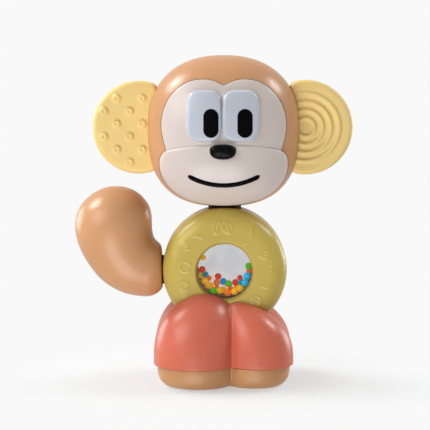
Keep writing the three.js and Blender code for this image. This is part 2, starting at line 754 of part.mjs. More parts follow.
function buildEars() {
  piece('ear_left', join(earPlate(EAR_LEFT), ...nubs(EAR_LEFT)), FINISH.ear);
  piece('ear_right', join(earPlate(EAR_RIGHT), ...ridges(EAR_RIGHT)), FINISH.ear);
}

// ---------- Tail ----------

// Edge pairs of the curled tail, from the flat face to the tip: the inner and the outer edge of
// each round section, measured from the middle of the face (x away from the ring, z up).
const TAIL_EDGES = [
  [[0, 10.6], [-0.5, -8.2]],
  [[0.7, 12.6], [0, -9.8]],
  [[1.9, 13.8], [3.4, -12.6]],
  [[3.1, 14.9], [9, -13.6]],
  [[3.8, 15.9], [20, -11.4]],
  [[4.3, 17.4], [30.5, -4.8]],
  [[4.7, 19.6], [38.6, 6]],
  [[4.9, 22.5], [42.6, 16]],
  [[4.9, 26], [43.1, 24.5]],
  [[6, 31.4], [40.9, 31.5]],
  [[9.5, 37], [35.6, 38]],
  [[15, 40.9], [29.3, 41.5]],
];

/** The tail's body, pulled in all over by an inset. */
function tailBody(inset, sides = 22) {
  const rings = TAIL_EDGES.map(([inner, outer]) => {
    const [a, b] = [inner, outer].map(([x, z]) => new THREE.Vector3(TAIL_FACE - x, 0, TAIL_Z + z));
    const centre = a.clone().lerp(b, 0.5);
    const radius = a.distanceTo(b) / 2;
    const shrunk = Math.max(0.5, radius - inset);
    const across = b.clone().sub(a).normalize();
    return Array.from({ length: sides }, (_, i) => {
      const angle = (2 * Math.PI * i) / sides;
      return centre.clone().addScaledVector(across, shrunk * Math.cos(angle))
        .add(new THREE.Vector3(0, shrunk * Math.sin(angle), 0));
    });
  });
  const tip = middle(rings.at(-1)).add(new THREE.Vector3(0, 0, 1 - inset));
  return loft(rings, middle(rings[0]), tip);
}

function buildTail() {
  const skin = tailBody(0);
  const reach = [TAIL_FACE - SHELL_WALL, TAIL_FACE - BIG];
  const behindFace = block([reach[1], -BIG, 0], [reach[0], BIG, BIG]);
  const hollow = tailBody(SHELL_WALL, 14).intersect(behindFace);
  const bore = bar('x', TAIL_HUB.radius + CLEARANCE, TAIL_FACE - TAIL_HUB.sunkInTail - CLEARANCE,
    TAIL_FACE + 10, [0, 0, TAIL_Z]);
  halves('tail', cut(skin, hollow, bore), FINISH.tan);
}

buildLegs();
buildRing();
buildBeads();
buildHubs();
buildHead();
buildEars();
buildTail();

export default monkey;
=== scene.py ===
"""Looks of a stacking monkey rattle: its moulded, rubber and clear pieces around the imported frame."""

import json
import logging
import math
from dataclasses import dataclass
from enum import Enum
from typing import Sequence

import bmesh
import bpy
import numpy as np
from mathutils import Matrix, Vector
from mathutils.bvhtree import BVHTree


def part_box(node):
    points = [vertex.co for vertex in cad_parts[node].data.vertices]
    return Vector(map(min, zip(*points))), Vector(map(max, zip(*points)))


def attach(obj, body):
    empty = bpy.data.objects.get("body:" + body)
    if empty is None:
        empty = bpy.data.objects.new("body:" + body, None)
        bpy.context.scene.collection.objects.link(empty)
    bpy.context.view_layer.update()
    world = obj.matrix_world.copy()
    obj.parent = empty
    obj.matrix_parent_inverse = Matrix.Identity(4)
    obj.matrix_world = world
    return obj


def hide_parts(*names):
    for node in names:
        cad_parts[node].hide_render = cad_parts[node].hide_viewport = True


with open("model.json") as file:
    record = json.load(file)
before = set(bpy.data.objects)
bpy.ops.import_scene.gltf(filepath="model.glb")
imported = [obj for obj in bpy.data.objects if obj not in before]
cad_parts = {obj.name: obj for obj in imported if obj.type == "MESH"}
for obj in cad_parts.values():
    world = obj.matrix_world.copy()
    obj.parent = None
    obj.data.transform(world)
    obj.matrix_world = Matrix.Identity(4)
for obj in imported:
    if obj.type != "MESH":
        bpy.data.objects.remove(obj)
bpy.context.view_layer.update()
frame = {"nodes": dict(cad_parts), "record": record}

MM = 0.001
TAU = 2 * math.pi
log = logging.getLogger("monkey")

Array = np.ndarray


class Axis(Enum):
    """The three directions a turned piece can lie along."""

    X = "x"
    Y = "y"
    Z = "z"


class Boolean(Enum):
    """How one solid changes another."""

    CUT = "DIFFERENCE"
    JOIN = "UNION"


class Half(Enum):
    """Which side of the middle plane a shell lies on."""

    FRONT = -1
    BACK = 1


# ---------------------------------------------------------------- numbers


def srgb(red: int, green: int, blue: int) -> tuple[float, float, float, float]:
    """Linear colour of three screen values.

    Args:
        red: Red from 0 to 255.
        green: Green from 0 to 255.
        blue: Blue from 0 to 255.

    Returns:
        The colour with full alpha.
    """
    values = []
    for value in (red, green, blue):
        share = value / 255
        values.append(share / 12.92 if share <= 0.04045 else ((share + 0.055) / 1.055) ** 2.4)
    return (*values, 1.0)


def smoothstep(value: Array) -> Array:
    """A soft step from 0 to 1 over the same range."""
    value = np.clip(value, 0, 1)
    return value * value * (3 - 2 * value)


def arc(x: float, z: float, radius: float, start: float, end: float, steps: int) -> Array:
    """Points on an arc.

    Args:
        x: Centre across.
        z: Centre up.
        radius: Radius of the arc.
        start: First angle in degrees.
        end: Last angle in degrees.
        steps: Number of chords.

    Returns:
        Rows of x and z.
    """
    angles = np.radians(np.linspace(start, end, steps + 1))
    return np.column_stack([x + radius * np.cos(angles), z + radius * np.sin(angles)])


def bezier(points: Sequence[tuple[float, float]], steps: int) -> Array:
    """Points on a cubic curve, without its last point.

    Args:
        points: The first end, its handle, the last end's handle and the last end.
        steps: Number of points.

    Returns:
        Rows of x and z.
    """
    t = np.linspace(0, 1, steps, endpoint=False)[:, None]
    a, b, c, d = (np.array(point, float) for point in points)
    return (1 - t) ** 3 * a + 3 * (1 - t) ** 2 * t * b + 3 * (1 - t) * t ** 2 * c + t ** 3 * d


def evenly(outline: Array, count: int) -> Array:
    """A closed outline resampled to evenly spaced points.

    Args:
        outline: Rows of x and z.
        count: Number of points wanted.

    Returns:
        Rows of x and z.
    """
    closed = np.vstack([outline, outline[:1]])
    lengths = np.concatenate([[0], np.cumsum(np.linalg.norm(np.diff(closed, axis=0), axis=1))])
    stations = np.linspace(0, lengths[-1], count, endpoint=False)
    return np.column_stack([np.interp(stations, lengths, closed[:, i]) for i in range(2)])


def softened(outline: Array, rounds: int) -> Array:
    """A closed outline with its corners eased.

    Args:
        outline: Rows of x and z.
        rounds: How many times each point is averaged with its neighbours.

    Returns:
        The eased rows.
    """
    for _ in range(rounds):
        outline = (np.roll(outline, 1, 0) + 2 * outline + np.roll(outline, -1, 0)) / 4
    return outline


def spline(points: Array, per_step: int) -> Array:
    """A smooth curve through every point.

    Args:
        points: Rows to pass through.
        per_step: Number of points from one row to the next.

    Returns:
        The curve's rows, the last one included.
    """
    ends = np.vstack([2 * points[0] - points[1], points, 2 * points[-1] - points[-2]])
    found = []
    for i in range(1, len(ends) - 2):
        a, b, c, d = ends[i - 1:i + 3]
        for t in np.linspace(0, 1, per_step, endpoint=False):
            found.append(0.5 * (2 * b + (c - a) * t + (2 * a - 5 * b + 4 * c - d) * t ** 2
                                + (3 * b - a - 3 * c + d) * t ** 3))
    return np.vstack([*found, points[-1]])


# ---------------------------------------------------------------- meshes


def mesh_object(name: str, points: Array, faces: Sequence[Sequence[int]]) -> bpy.types.Object:
    """A mesh object from points in millimetres.

    Args:
        name: The object's name.
        points: Rows of x, y and z in millimetres.
        faces: Point numbers of each face.

    Returns:
        The linked object, with its faces pointing outwards.
    """
    mesh = bpy.data.meshes.new(name)
    mesh.from_pydata((np.asarray(points) * MM).tolist(), [], [list(face) for face in faces])
    thing = bpy.data.objects.new(name, mesh)
    bpy.context.scene.collection.objects.link(thing)
    tidy(thing)
    return thing


def tidy(thing: bpy.types.Object, merge: float = 1e-6) -> None:
    """Merges doubles and turns the faces of a mesh outwards.

    Args:
        thing: The object whose mesh is cleaned.
        merge: Points closer than this, in metres, become one.
    """
    work = bmesh.new()
    work.from_mesh(thing.data)
    bmesh.ops.remove_doubles(work, verts=work.verts, dist=merge)
    bmesh.ops.dissolve_degenerate(work, edges=work.edges, dist=merge)
    bmesh.ops.recalc_face_normals(work, faces=work.faces)
    work.to_mesh(thing.data)
    work.free()


def shade(thing: bpy.types.Object, degrees: float = 40) -> bpy.types.Object:
    """Shades a mesh smooth except across its sharp edges.

    Args:
        thing: The object to shade.
        degrees: Edges that turn by more than this stay sharp.

    Returns:
        The same object.
    """
    work = bmesh.new()
    work.from_mesh(thing.data)
    for face in work.faces:
        face.smooth = True
    for edge in work.edges:
        edge.smooth = edge.calc_face_angle(0) < math.radians(degrees)
    work.to_mesh(thing.data)
    work.free()
    return thing


def loft(name: str, rings: Sequence[Array], start: Array | None = None,
         end: Array | None = None) -> bpy.types.Object:
    """A closed skin through rings of equal point count.

    Args:
        name: The object's name.
        rings: Each ring's points in millimetres.
        start: The point that closes the first ring, or its middle.
        end: The point that closes the last ring, or its middle.

    Returns:
        The lofted object.
    """
    rows, count = len(rings), len(rings[0])
    first = np.mean(rings[0], 0) if start is None else start
    final = np.mean(rings[-1], 0) if end is None else end
    points = np.vstack([*rings, first, final])
    faces = []
    for i in range(count):
        j = (i + 1) % count
        faces.append((rows * count, j, i))
        faces.append((rows * count + 1, (rows - 1) * count + i, (rows - 1) * count + j))
        for row in range(rows - 1):
            low, high = row * count, (row + 1) * count
            faces.append((low + i, low + j, high + j, high + i))
    return mesh_object(name, points, faces)


def turned(name: str, profile: Array, axis: Axis, centre: Sequence[float],
           sides: int = 96) -> bpy.types.Object:
    """A piece turned about an axis.

    Args:
        name: The object's name.
        profile: Rows of radius and station; it starts and ends on the axis, or is a closed loop.
        axis: The axis it is turned about.
        centre: A point on the axis, in millimetres.
        sides: Number of flats round it.

    Returns:
        The turned object.
    """
    angles = np.arange(sides) * TAU / sides
    count = len(profile)
    looped = profile[0][0] > 1e-6
    points = []
    for angle in angles:
        c, s = math.cos(angle), math.sin(angle)
        for radius, station in profile:
            place = {Axis.X: (station, radius * c, radius * s), Axis.Y: (radius * c, station, radius * s),
                     Axis.Z: (radius * c, radius * s, station)}[axis]
            points.append(np.add(place, centre))
    faces = []
    for side in range(sides):
        low, high = side * count, ((side + 1) % sides) * count
        for i in range(count if looped else count - 1):
            j = (i + 1) % count
            faces.append((low + i, high + i, high + j, low + j))
    return mesh_object(name, np.array(points), faces)


def rounded_bar(radius: float, start: float, end: float, edge: float, steps: int = 4) -> Array:
    """The profile of a round bar with rounded edges.

    Args:
        radius: The bar's radius.
        start: Station of one end.
        end: Station of the other end.
        edge: Radius of the rounded edges.
        steps: Number of chords on each edge.

    Returns:
        Rows of radius and station.
    """
    low, high = min(start, end), max(start, end)
    lower = arc(radius - edge, low + edge, edge, -90, 0, steps)
    upper = arc(radius - edge, high - edge, edge, 0, 90, steps)
    return np.vstack([[(0, low)], lower, upper, [(0, high)]])


def baked(thing: bpy.types.Object) -> bpy.types.Object:
    """Turns an object into a plain mesh.

    Args:
        thing: The object whose modifiers are applied and removed.

    Returns:
        The same object.
    """
    graph = bpy.context.evaluated_depsgraph_get()
    mesh = bpy.data.meshes.new_from_object(thing.evaluated_get(graph))
    thing.modifiers.clear()
    old = thing.data
    thing.data = mesh
    bpy.data.meshes.remove(old)
    return thing


def drop(thing: bpy.types.Object) -> None:
    """Removes a helper object and its mesh.

    Args:
        thing: The helper.
    """
    mesh = thing.data
    bpy.data.objects.remove(thing)
    bpy.data.meshes.remove(mesh)


def combined(thing: bpy.types.Object, tool: bpy.types.Object, how: Boolean) -> bpy.types.Object:
    """Changes one solid by another.

    Args:
        thing: The solid that is changed.
        tool: The solid that changes it, which is used up.
        how: Whether it cuts or joins.

    Returns:
        The changed object.
    """
    change = thing.modifiers.new("change", "BOOLEAN")
    change.operation = how.value
    change.object = tool
    change.solver = "EXACT"
    baked(thing)
    drop(tool)
    return thing


def moulded(thing: bpy.types.Object, voxel: float, rounds: int) -> bpy.types.Object:
    """Gives a solid one even skin with soft moulded edges.

    Args:
        thing: The solid.
        voxel: Size of the skin's squares in millimetres.
        rounds: How many times the skin is smoothed.

    Returns:
        The same object.
    """
    skin = thing.modifiers.new("skin", "REMESH")
    skin.mode = "VOXEL"
    skin.voxel_size = voxel * MM
    skin.use_smooth_shade = True
    ease = thing.modifiers.new("ease", "SMOOTH")
    ease.factor = 0.5
    ease.iterations = rounds
    baked(thing)
    return shade(thing, 60)


def halved(thing: bpy.types.Object, half: Half, name: str, seam: float) -> bpy.types.Object:
    """A copy of a solid that keeps only one side of the middle plane.

    Args:
        thing: The whole solid.
        half: The side to keep.
        name: The copy's name.
        seam: Half the gap at the middle plane, in millimetres.

    Returns:
        The closed half.
    """
    copy = bpy.data.objects.new(name, thing.data.copy())
    bpy.context.scene.collection.objects.link(copy)
    work = bmesh.new()
    work.from_mesh(copy.data)
    side = half.value
    everything = [*work.verts, *work.edges, *work.faces]
    cut = bmesh.ops.bisect_plane(work, geom=everything, plane_co=(0, side * seam * MM, 0),
                                 plane_no=(0, side, 0), clear_inner=True)
    rim = [item for item in cut["geom_cut"] if isinstance(item, bmesh.types.BMEdge)]
    bmesh.ops.holes_fill(work, edges=rim)
    work.to_mesh(copy.data)
    work.free()
    tidy(copy)
    return copy


def merged(name: str, things: Sequence[bpy.types.Object]) -> bpy.types.Object:
    """One object from several.

    Args:
        name: The new object's name.
        things: The objects to merge, which are used up.

    Returns:
        The merged object.
    """
    work = bmesh.new()
    for thing in things:
        work.from_mesh(thing.data)
    mesh = bpy.data.meshes.new(name)
    work.to_mesh(mesh)
    work.free()
    for thing in things:
        drop(thing)
    whole = bpy.data.objects.new(name, mesh)
    bpy.context.scene.collection.objects.link(whole)
    return whole


# ---------------------------------------------------------------- finishes


class Shader:
    """A material's node tree, built one node at a time."""

    def __init__(self, name: str) -> None:
        """Starts a material with one plain surface.

        Args:
            name: The material's name.
        """
        self.material = bpy.data.materials.new(name)
        self.material.use_nodes = True
        self.tree = self.material.node_tree
        self.surface = self.tree.nodes["Principled BSDF"]
        self.place = self.node("ShaderNodeTexCoord").outputs["Object"]

    def node(self, kind: str, **settings: object) -> bpy.types.Node:
        """Adds a node.

        Args:
            kind: The node's type.
            **settings: Values for its properties.

        Returns:
            The new node.
        """
        made = self.tree.nodes.new(kind)
        for key, value in settings.items():
            setattr(made, key, value)
        return made

    def feed(self, node: bpy.types.Node, **inputs: object) -> bpy.types.Node:
        """Links or sets a node's inputs.

        Args:
            node: The node to feed.
            **inputs: A socket or a value for each input; an underscore stands for a space.

        Returns:
            The same node.
        """
        for key, value in inputs.items():
            socket = node.inputs[key.replace("_", " ")]
            if isinstance(value, bpy.types.NodeSocket):
                self.tree.links.new(value, socket)
            else:
                socket.default_value = value
        return node

    def noise(self, per_mm: float, detail: float = 2, distortion: float = 0) -> bpy.types.NodeSocket:
        """A noise pattern.

        Args:
            per_mm: About how many features there are to a millimetre.
            detail: Number of finer layers.
            distortion: How far the pattern is warped.

        Returns:
            The pattern's socket.
        """
        made = self.feed(self.node("ShaderNodeTexNoise"), Vector=self.place, Scale=per_mm / MM,
                         Detail=detail, Distortion=distortion)
        return made.outputs["Fac"]

    def spread(self, value: bpy.types.NodeSocket, low: float, high: float,
               source: tuple[float, float] = (0.3, 0.7)) -> bpy.types.NodeSocket:
        """Maps a pattern to a range of values.

        Args:
            value: The pattern.
            low: The value where it is lowest.
            high: The value where it is highest.
            source: The pattern's own lowest and highest value.

        Returns:
            The mapped socket.
        """
        made = self.node("ShaderNodeMapRange")
        self.feed(made, Value=value, From_Min=source[0], From_Max=source[1], To_Min=low, To_Max=high)
        return made.outputs["Result"]

    def tint(self, value: bpy.types.NodeSocket, low: Sequence[float],
             high: Sequence[float]) -> bpy.types.NodeSocket:
        """Mixes two colours by a pattern.

        Args:
            value: The pattern, from 0 to 1.
            low: The colour at 0.
            high: The colour at 1.

        Returns:
            The mixed colour's socket.
        """
        made = self.node("ShaderNodeMix", data_type="RGBA")
        for socket, colour in ((made.inputs[6], low), (made.inputs[7], high)):
            socket.default_value = colour
        self.tree.links.new(value, made.inputs["Factor"])
        return made.outputs[2]

    def bump(self, height: bpy.types.NodeSocket, depth: float, strength: float = 1,
             under: bpy.types.NodeSocket | None = None) -> bpy.types.NodeSocket:
        """A bump, over another if one is given.

        Args:
            height: The pattern that is raised.
            depth: Its depth in millimetres.
            strength: How much of it shows.
            under: The bump below it.

        Returns:
            The bump's socket.
        """
        made = self.feed(self.node("ShaderNodeBump"), Height=height, Distance=depth * MM,
                         Strength=strength)
        if under is not None:
            self.tree.links.new(under, made.inputs["Normal"])
        return made.outputs["Normal"]


def shaded(colour: Sequence[float], share: float) -> tuple[float, float, float, float]:
    """A colour made darker or lighter by a share."""
    return (*(min(1.0, value * share) for value in colour[:3]), 1.0)


@dataclass(frozen=True)
class MouldedPlastic:
    """Satin plastic with a fine spark-eroded grain."""

    name: str
    colour: tuple[float, float, float, float]
    roughness: float = 0.31
    grain: float = 0.006
    variation: float = 0.04
    soft: float = 0.05

    def material(self) -> bpy.types.Material:
        """Builds the material the first time it is asked for.

        Returns:
            The material.
        """
        found = bpy.data.materials.get(self.name)
        if found:
            return found
        shader = Shader(self.name)
        clouds = shader.spread(shader.noise(0.035, 3), 0, 1)
        colour = shader.tint(clouds, shaded(self.colour, 1 - self.variation),
                             shaded(self.colour, 1 + self.variation))
        gloss = shader.spread(shader.noise(0.4, 2), self.roughness - 0.04, self.roughness + 0.05)
        fine = shader.bump(shader.noise(4.5, 2), self.grain)
        broad = shader.bump(shader.noise(0.06, 1), 0.05, 0.5, fine)
        shader.feed(shader.surface, Base_Color=colour, Roughness=gloss, Normal=broad)
        shader.surface.inputs["Specular IOR Level"].default_value = 0.45
        shader.surface.inputs["Subsurface Weight"].default_value = self.soft
        shader.surface.inputs["Subsurface Radius"].default_value = (0.004, 0.002, 0.001)
        shader.surface.inputs["Subsurface Scale"].default_value = 0.3
        return shader.material


@dataclass(frozen=True)
class SoftRubber:
    """Silky matt rubber with a faint bloom of dust."""

    name: str
    colour: tuple[float, float, float, float]
    roughness: float = 0.6
    sheen: float = 0.25
    shine: float = 0.5

    def material(self) -> bpy.types.Material:
        """Builds the material the first time it is asked for.

        Returns:
            The material.
        """
        found = bpy.data.materials.get(self.name)
        if found:
            return found
        shader = Shader(self.name)
        clouds = shader.spread(shader.noise(0.05, 4), 0, 1)
        colour = shader.tint(clouds, shaded(self.colour, 0.965), shaded(self.colour, 1.03))
        gloss = shader.spread(shader.noise(0.8, 3), self.roughness - 0.07, self.roughness + 0.06)
        silk = shader.bump(shader.noise(6, 3), 0.01)
        shader.feed(shader.surface, Base_Color=colour, Roughness=gloss, Normal=silk)
        shader.surface.inputs["Specular IOR Level"].default_value = self.shine
        shader.surface.inputs["Sheen Weight"].default_value = self.sheen
        shader.surface.inputs["Sheen Roughness"].default_value = 0.4
        shader.surface.inputs["Subsurface Weight"].default_value = 0.15
        shader.surface.inputs["Subsurface Radius"].default_value = (0.006, 0.004, 0.002)
        shader.surface.inputs["Subsurface Scale"].default_value = 0.4
        return shader.material


@dataclass(frozen=True)
class GlossPlastic:
    """Polished plastic with faint handling scuffs."""

    name: str
    colour: tuple[float, float, float, float]
    roughness: float = 0.14
    shine: float = 0.35

    def material(self) -> bpy.types.Material:
        """Builds the material the first time it is asked for.

        Returns:
            The material.
        """
        found = bpy.data.materials.get(self.name)
        if found:
            return found
        shader = Shader(self.name)
        scuffs = shader.noise(0.5, 5, 1.5)
        gloss = shader.spread(scuffs, self.roughness - 0.03, self.roughness + 0.1, (0.45, 0.75))
        tone = shader.spread(shader.noise(0.12, 2), 0, 1)
        colour = shader.tint(tone, shaded(self.colour, 0.92), shaded(self.colour, 1.08))
        peel = shader.bump(shader.noise(0.9, 1), 0.006)
        shader.feed(shader.surface, Base_Color=colour, Roughness=gloss, Normal=peel)
        shader.surface.inputs["Specular IOR Level"].default_value = self.shine
        return shader.material


@dataclass(frozen=True)
class BeadPlastic:
    """Bright bead plastic that takes each bead's own colour from its mesh, with a painted glow of that
    colour.
    """

    name: str
    attribute: str
    roughness: float = 0.3
    painted_glow: float = 0.45

    def material(self) -> bpy.types.Material:
        """Builds the material the first time it is asked for.

        Returns:
            The material.
        """
        found = bpy.data.materials.get(self.name)
        if found:
            return found
        shader = Shader(self.name)
        own = shader.node("ShaderNodeAttribute", attribute_name=self.attribute).outputs["Color"]
        mottle = shader.spread(shader.noise(1.2, 2), 0.9, 1.08)
        tone = shader.node("ShaderNodeVectorMath", operation="SCALE")
        shader.tree.links.new(own, tone.inputs[0])
        shader.tree.links.new(mottle, tone.inputs["Scale"])
        gloss = shader.spread(shader.noise(2, 2), self.roughness - 0.05, self.roughness + 0.1)
        shader.feed(shader.surface, Base_Color=tone.outputs[0], Roughness=gloss,
                    Normal=shader.bump(shader.noise(5, 1), 0.008))
        # Painted glow: each bead emits its own colour as painted light, so the beads read bright inside the
        # ring though they are no lamp.
        shader.tree.links.new(tone.outputs[0], shader.surface.inputs["Emission Color"])
        shader.surface.inputs["Emission Strength"].default_value = self.painted_glow
        return shader.material


@dataclass(frozen=True)
class ClearPlastic:
    """Water-clear moulded plastic with a faint flow ripple."""

    name: str
    colour: tuple[float, float, float, float]
    roughness: float = 0.05
    haze: float = 0.12

    def material(self) -> bpy.types.Material:
        """Builds the material the first time it is asked for.

        Returns:
            The material.
        """
        found = bpy.data.materials.get(self.name)
        if found:
            return found
        shader = Shader(self.name)
        gloss = shader.spread(shader.noise(0.7, 4, 1), self.roughness, self.roughness + 0.05)
        haze = shader.spread(shader.noise(0.15, 2), self.haze * 0.85, self.haze * 1.15)
        ripple = shader.bump(shader.noise(0.12, 1), 0.02, 0.4)
        shader.feed(shader.surface, Roughness=gloss, Normal=ripple, Alpha=haze)
        shader.surface.inputs["Base Color"].default_value = self.colour
        shader.surface.inputs["Specular IOR Level"].default_value = 0.8
        return shader.material


@dataclass(frozen=True)
class PlatedMetal:
    """Nickel-plated magnet with fine grinding lines and tiny pits."""

    name: str
    colour: tuple[float, float, float, float]

    def material(self) -> bpy.types.Material:
        """Builds the material the first time it is asked for.

        Returns:
            The material.
        """
        found = bpy.data.materials.get(self.name)
        if found:
            return found
        shader = Shader(self.name)
        gloss = shader.spread(shader.noise(3, 4), 0.2, 0.38)
        tone = shader.spread(shader.noise(0.3, 3), 0, 1)
        colour = shader.tint(tone, shaded(self.colour, 0.88), self.colour)
        shader.feed(shader.surface, Base_Color=colour, Roughness=gloss,
                    Normal=shader.bump(shader.noise(5, 2), 0.01))
        shader.surface.inputs["Metallic"].default_value = 1
        return shader.material


Finish = MouldedPlastic | SoftRubber | GlossPlastic | BeadPlastic | ClearPlastic | PlatedMetal

TAN = MouldedPlastic("tan_moulded", srgb(211, 156, 111))
CREAM = MouldedPlastic("cream_moulded", srgb(220, 207, 200), roughness=0.33)
EYE_WHITE = MouldedPlastic("eye_white_moulded", srgb(200, 205, 218), roughness=0.34)
OLIVE = MouldedPlastic("olive_moulded", srgb(201, 178, 84))
CORAL = MouldedPlastic("coral_moulded", srgb(214, 109, 84))
SOLE_TAN = MouldedPlastic("sole_moulded", srgb(203, 149, 101))
EAR_YELLOW = SoftRubber("soft_ear", srgb(248, 217, 140), roughness=0.5, sheen=0.04)
# The hubs are real parts, but their dark brown is painted shade: it stands for the shadow in the gaps between
# head, tail and ring.
HUB_PAINTED_SHADE = SoftRubber("hub_rubber", srgb(44, 18, 6), roughness=0.7, sheen=0.0, shine=0.15)
BLACK = GlossPlastic("black_gloss", srgb(2, 1, 3), roughness=0.3, shine=0.1)
BLACK_SATIN = GlossPlastic("black_satin", srgb(2, 2, 3), roughness=0.4, shine=0.05)
BEAD = BeadPlastic("bead_plastic", "bead_color")
BEAD_COLOURS = {
    "bead_red": srgb(224, 58, 18), "bead_orange": srgb(240, 116, 14), "bead_amber": srgb(240, 178, 6),
    "bead_green": srgb(84, 182, 20), "bead_blue": srgb(4, 140, 214), "bead_cyan": srgb(4, 172, 220),
    "bead_teal": srgb(2, 142, 156)}
CLEAR = ClearPlastic("clear_moulded", srgb(150, 158, 186), haze=0.03)
CLEAR_BACK = ClearPlastic("clear_frosted", srgb(178, 188, 216), haze=0.25)
MAGNET = PlatedMetal("magnet_plate", srgb(190, 191, 195))


def dressed(thing: bpy.types.Object, finish: Finish, body: str,
            stands_for: Sequence[str]) -> bpy.types.Object:
    """Gives a finished piece its finish and ties it to the frame.

    Args:
        thing: The piece.
        finish: Its finish.
        body: The body it rides on.
        stands_for: The frame's nodes it stands for.

    Returns:
        The same object.
    """
    thing.data.materials.clear()
    thing.data.materials.append(finish.material())
    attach(thing, body)
    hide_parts(*stands_for)
    log.info("%s: %d faces on %s", thing.name, len(thing.data.polygons), body)
    return thing


# ---------------------------------------------------------------- geometry nodes


class Recipe:
    """A geometry-nodes tree with named inputs, built one node at a time."""

    def __init__(self, name: str) -> None:
        """Starts a tree that takes a mesh in.

        Args:
            name: The tree's name.
        """
        self.tree = bpy.data.node_groups.new(name, "GeometryNodeTree")
        self.keys: dict[str, str] = {}
        self.start = self.tree.nodes.new("NodeGroupInput")
        self.tree.interface.new_socket("Geometry", in_out="OUTPUT", socket_type="NodeSocketGeometry")
        self.geometry = self.asks("Geometry", "Geometry")

    def asks(self, name: str, kind: str = "Float") -> bpy.types.NodeSocket:
        """Adds a named input.

        Args:
            name: The input's name.
            kind: The kind of value it takes.

        Returns:
            The socket that gives its value.
        """
        item = self.tree.interface.new_socket(name, in_out="INPUT", socket_type=f"NodeSocket{kind}")
        self.keys[name] = item.identifier
        return self.start.outputs[name]

    def node(self, kind: str, settings: dict | None = None,
             inputs: dict | None = None) -> bpy.types.Node:
        """Adds a node.

        Args:
            kind: The node's type.
            settings: Values for its properties.
            inputs: A socket or a value for each input.

        Returns:
            The new node.
        """
        made = self.tree.nodes.new(kind)
        for key, value in (settings or {}).items():
            setattr(made, key, value)
        for key, value in (inputs or {}).items():
            if isinstance(value, bpy.types.NodeSocket):
                self.tree.links.new(value, made.inputs[key])
            else:
                made.inputs[key].default_value = value
        return made

    def math(self, operation: str, *values: object) -> bpy.types.NodeSocket:
        """A sum on numbers or sockets."""
        made = self.node("ShaderNodeMath", {"operation": operation}, dict(enumerate(values)))
        return made.outputs[0]

    def point(self, x: object = 0.0, y: object = 0.0, z: object = 0.0) -> bpy.types.NodeSocket:
        """A vector from numbers or sockets."""
        made = self.node("ShaderNodeCombineXYZ", None, {0: x, 1: y, 2: z})
        return made.outputs[0]

    def serve(self, name: str, geometry: bpy.types.NodeSocket, finish: Finish,
              values: dict[str, object], base: bpy.types.Object | None = None) -> bpy.types.Object:
        """Ends the tree, runs it and returns the result as a plain mesh object.

        Args:
            name: The new object's name.
            geometry: The socket that holds the result.
            finish: The finish set on it.
            values: A value for each named input.
            base: The object whose mesh goes in, which is used up.

        Returns:
            The new object.
        """
        real = self.node("GeometryNodeRealizeInstances", None, {0: geometry})
        painted = self.node("GeometryNodeSetMaterial", None,
                            {"Geometry": real.outputs[0], "Material": finish.material()})
        end = self.tree.nodes.new("NodeGroupOutput")
        self.tree.links.new(painted.outputs[0], end.inputs[0])
        if base is None:
            base = bpy.data.objects.new(name, bpy.data.meshes.new(name))
            bpy.context.scene.collection.objects.link(base)
        base.name = name
        step = base.modifiers.new("recipe", "NODES")
        step.node_group = self.tree
        for key, value in values.items():
            step[self.keys[key]] = value
        baked(base)
        bpy.data.node_groups.remove(self.tree)
        return base


# ---------------------------------------------------------------- places


@dataclass(frozen=True)
class Places:
    """The middles and axes that the pieces are set out from, read from the frame, in millimetres."""

    ring: Array
    head: Array
    tail_axis: float
    tail_face: float
    ear_rise: float = 1.4
    tail_hub_sunk: float = 3.9

    @classmethod
    def read(cls) -> "Places":
        """Reads the places from the frame's own pieces.

        Returns:
            The places.
        """
        ring = middle_of("bead_chamber_front")
        ear = middle_of("ear_left")
        low, _ = node_box("tail_hub")
        return cls(
            ring=np.array([ring[0], 0, ring[2]]),
            head=np.array([0, 0, ear[2] - cls.ear_rise]),
            tail_axis=middle_of("tail_hub")[2],
            tail_face=low[0] + cls.tail_hub_sunk,
        )


def node_box(node: str) -> tuple[Array, Array]:
    """A frame node's corners in millimetres."""
    low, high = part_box(node)
    return np.array(low) / MM, np.array(high) / MM


def middle_of(node: str) -> Array:
    """The middle of a frame node's box in millimetres."""
    low, high = node_box(node)
    return (low + high) / 2


# ---------------------------------------------------------------- legs


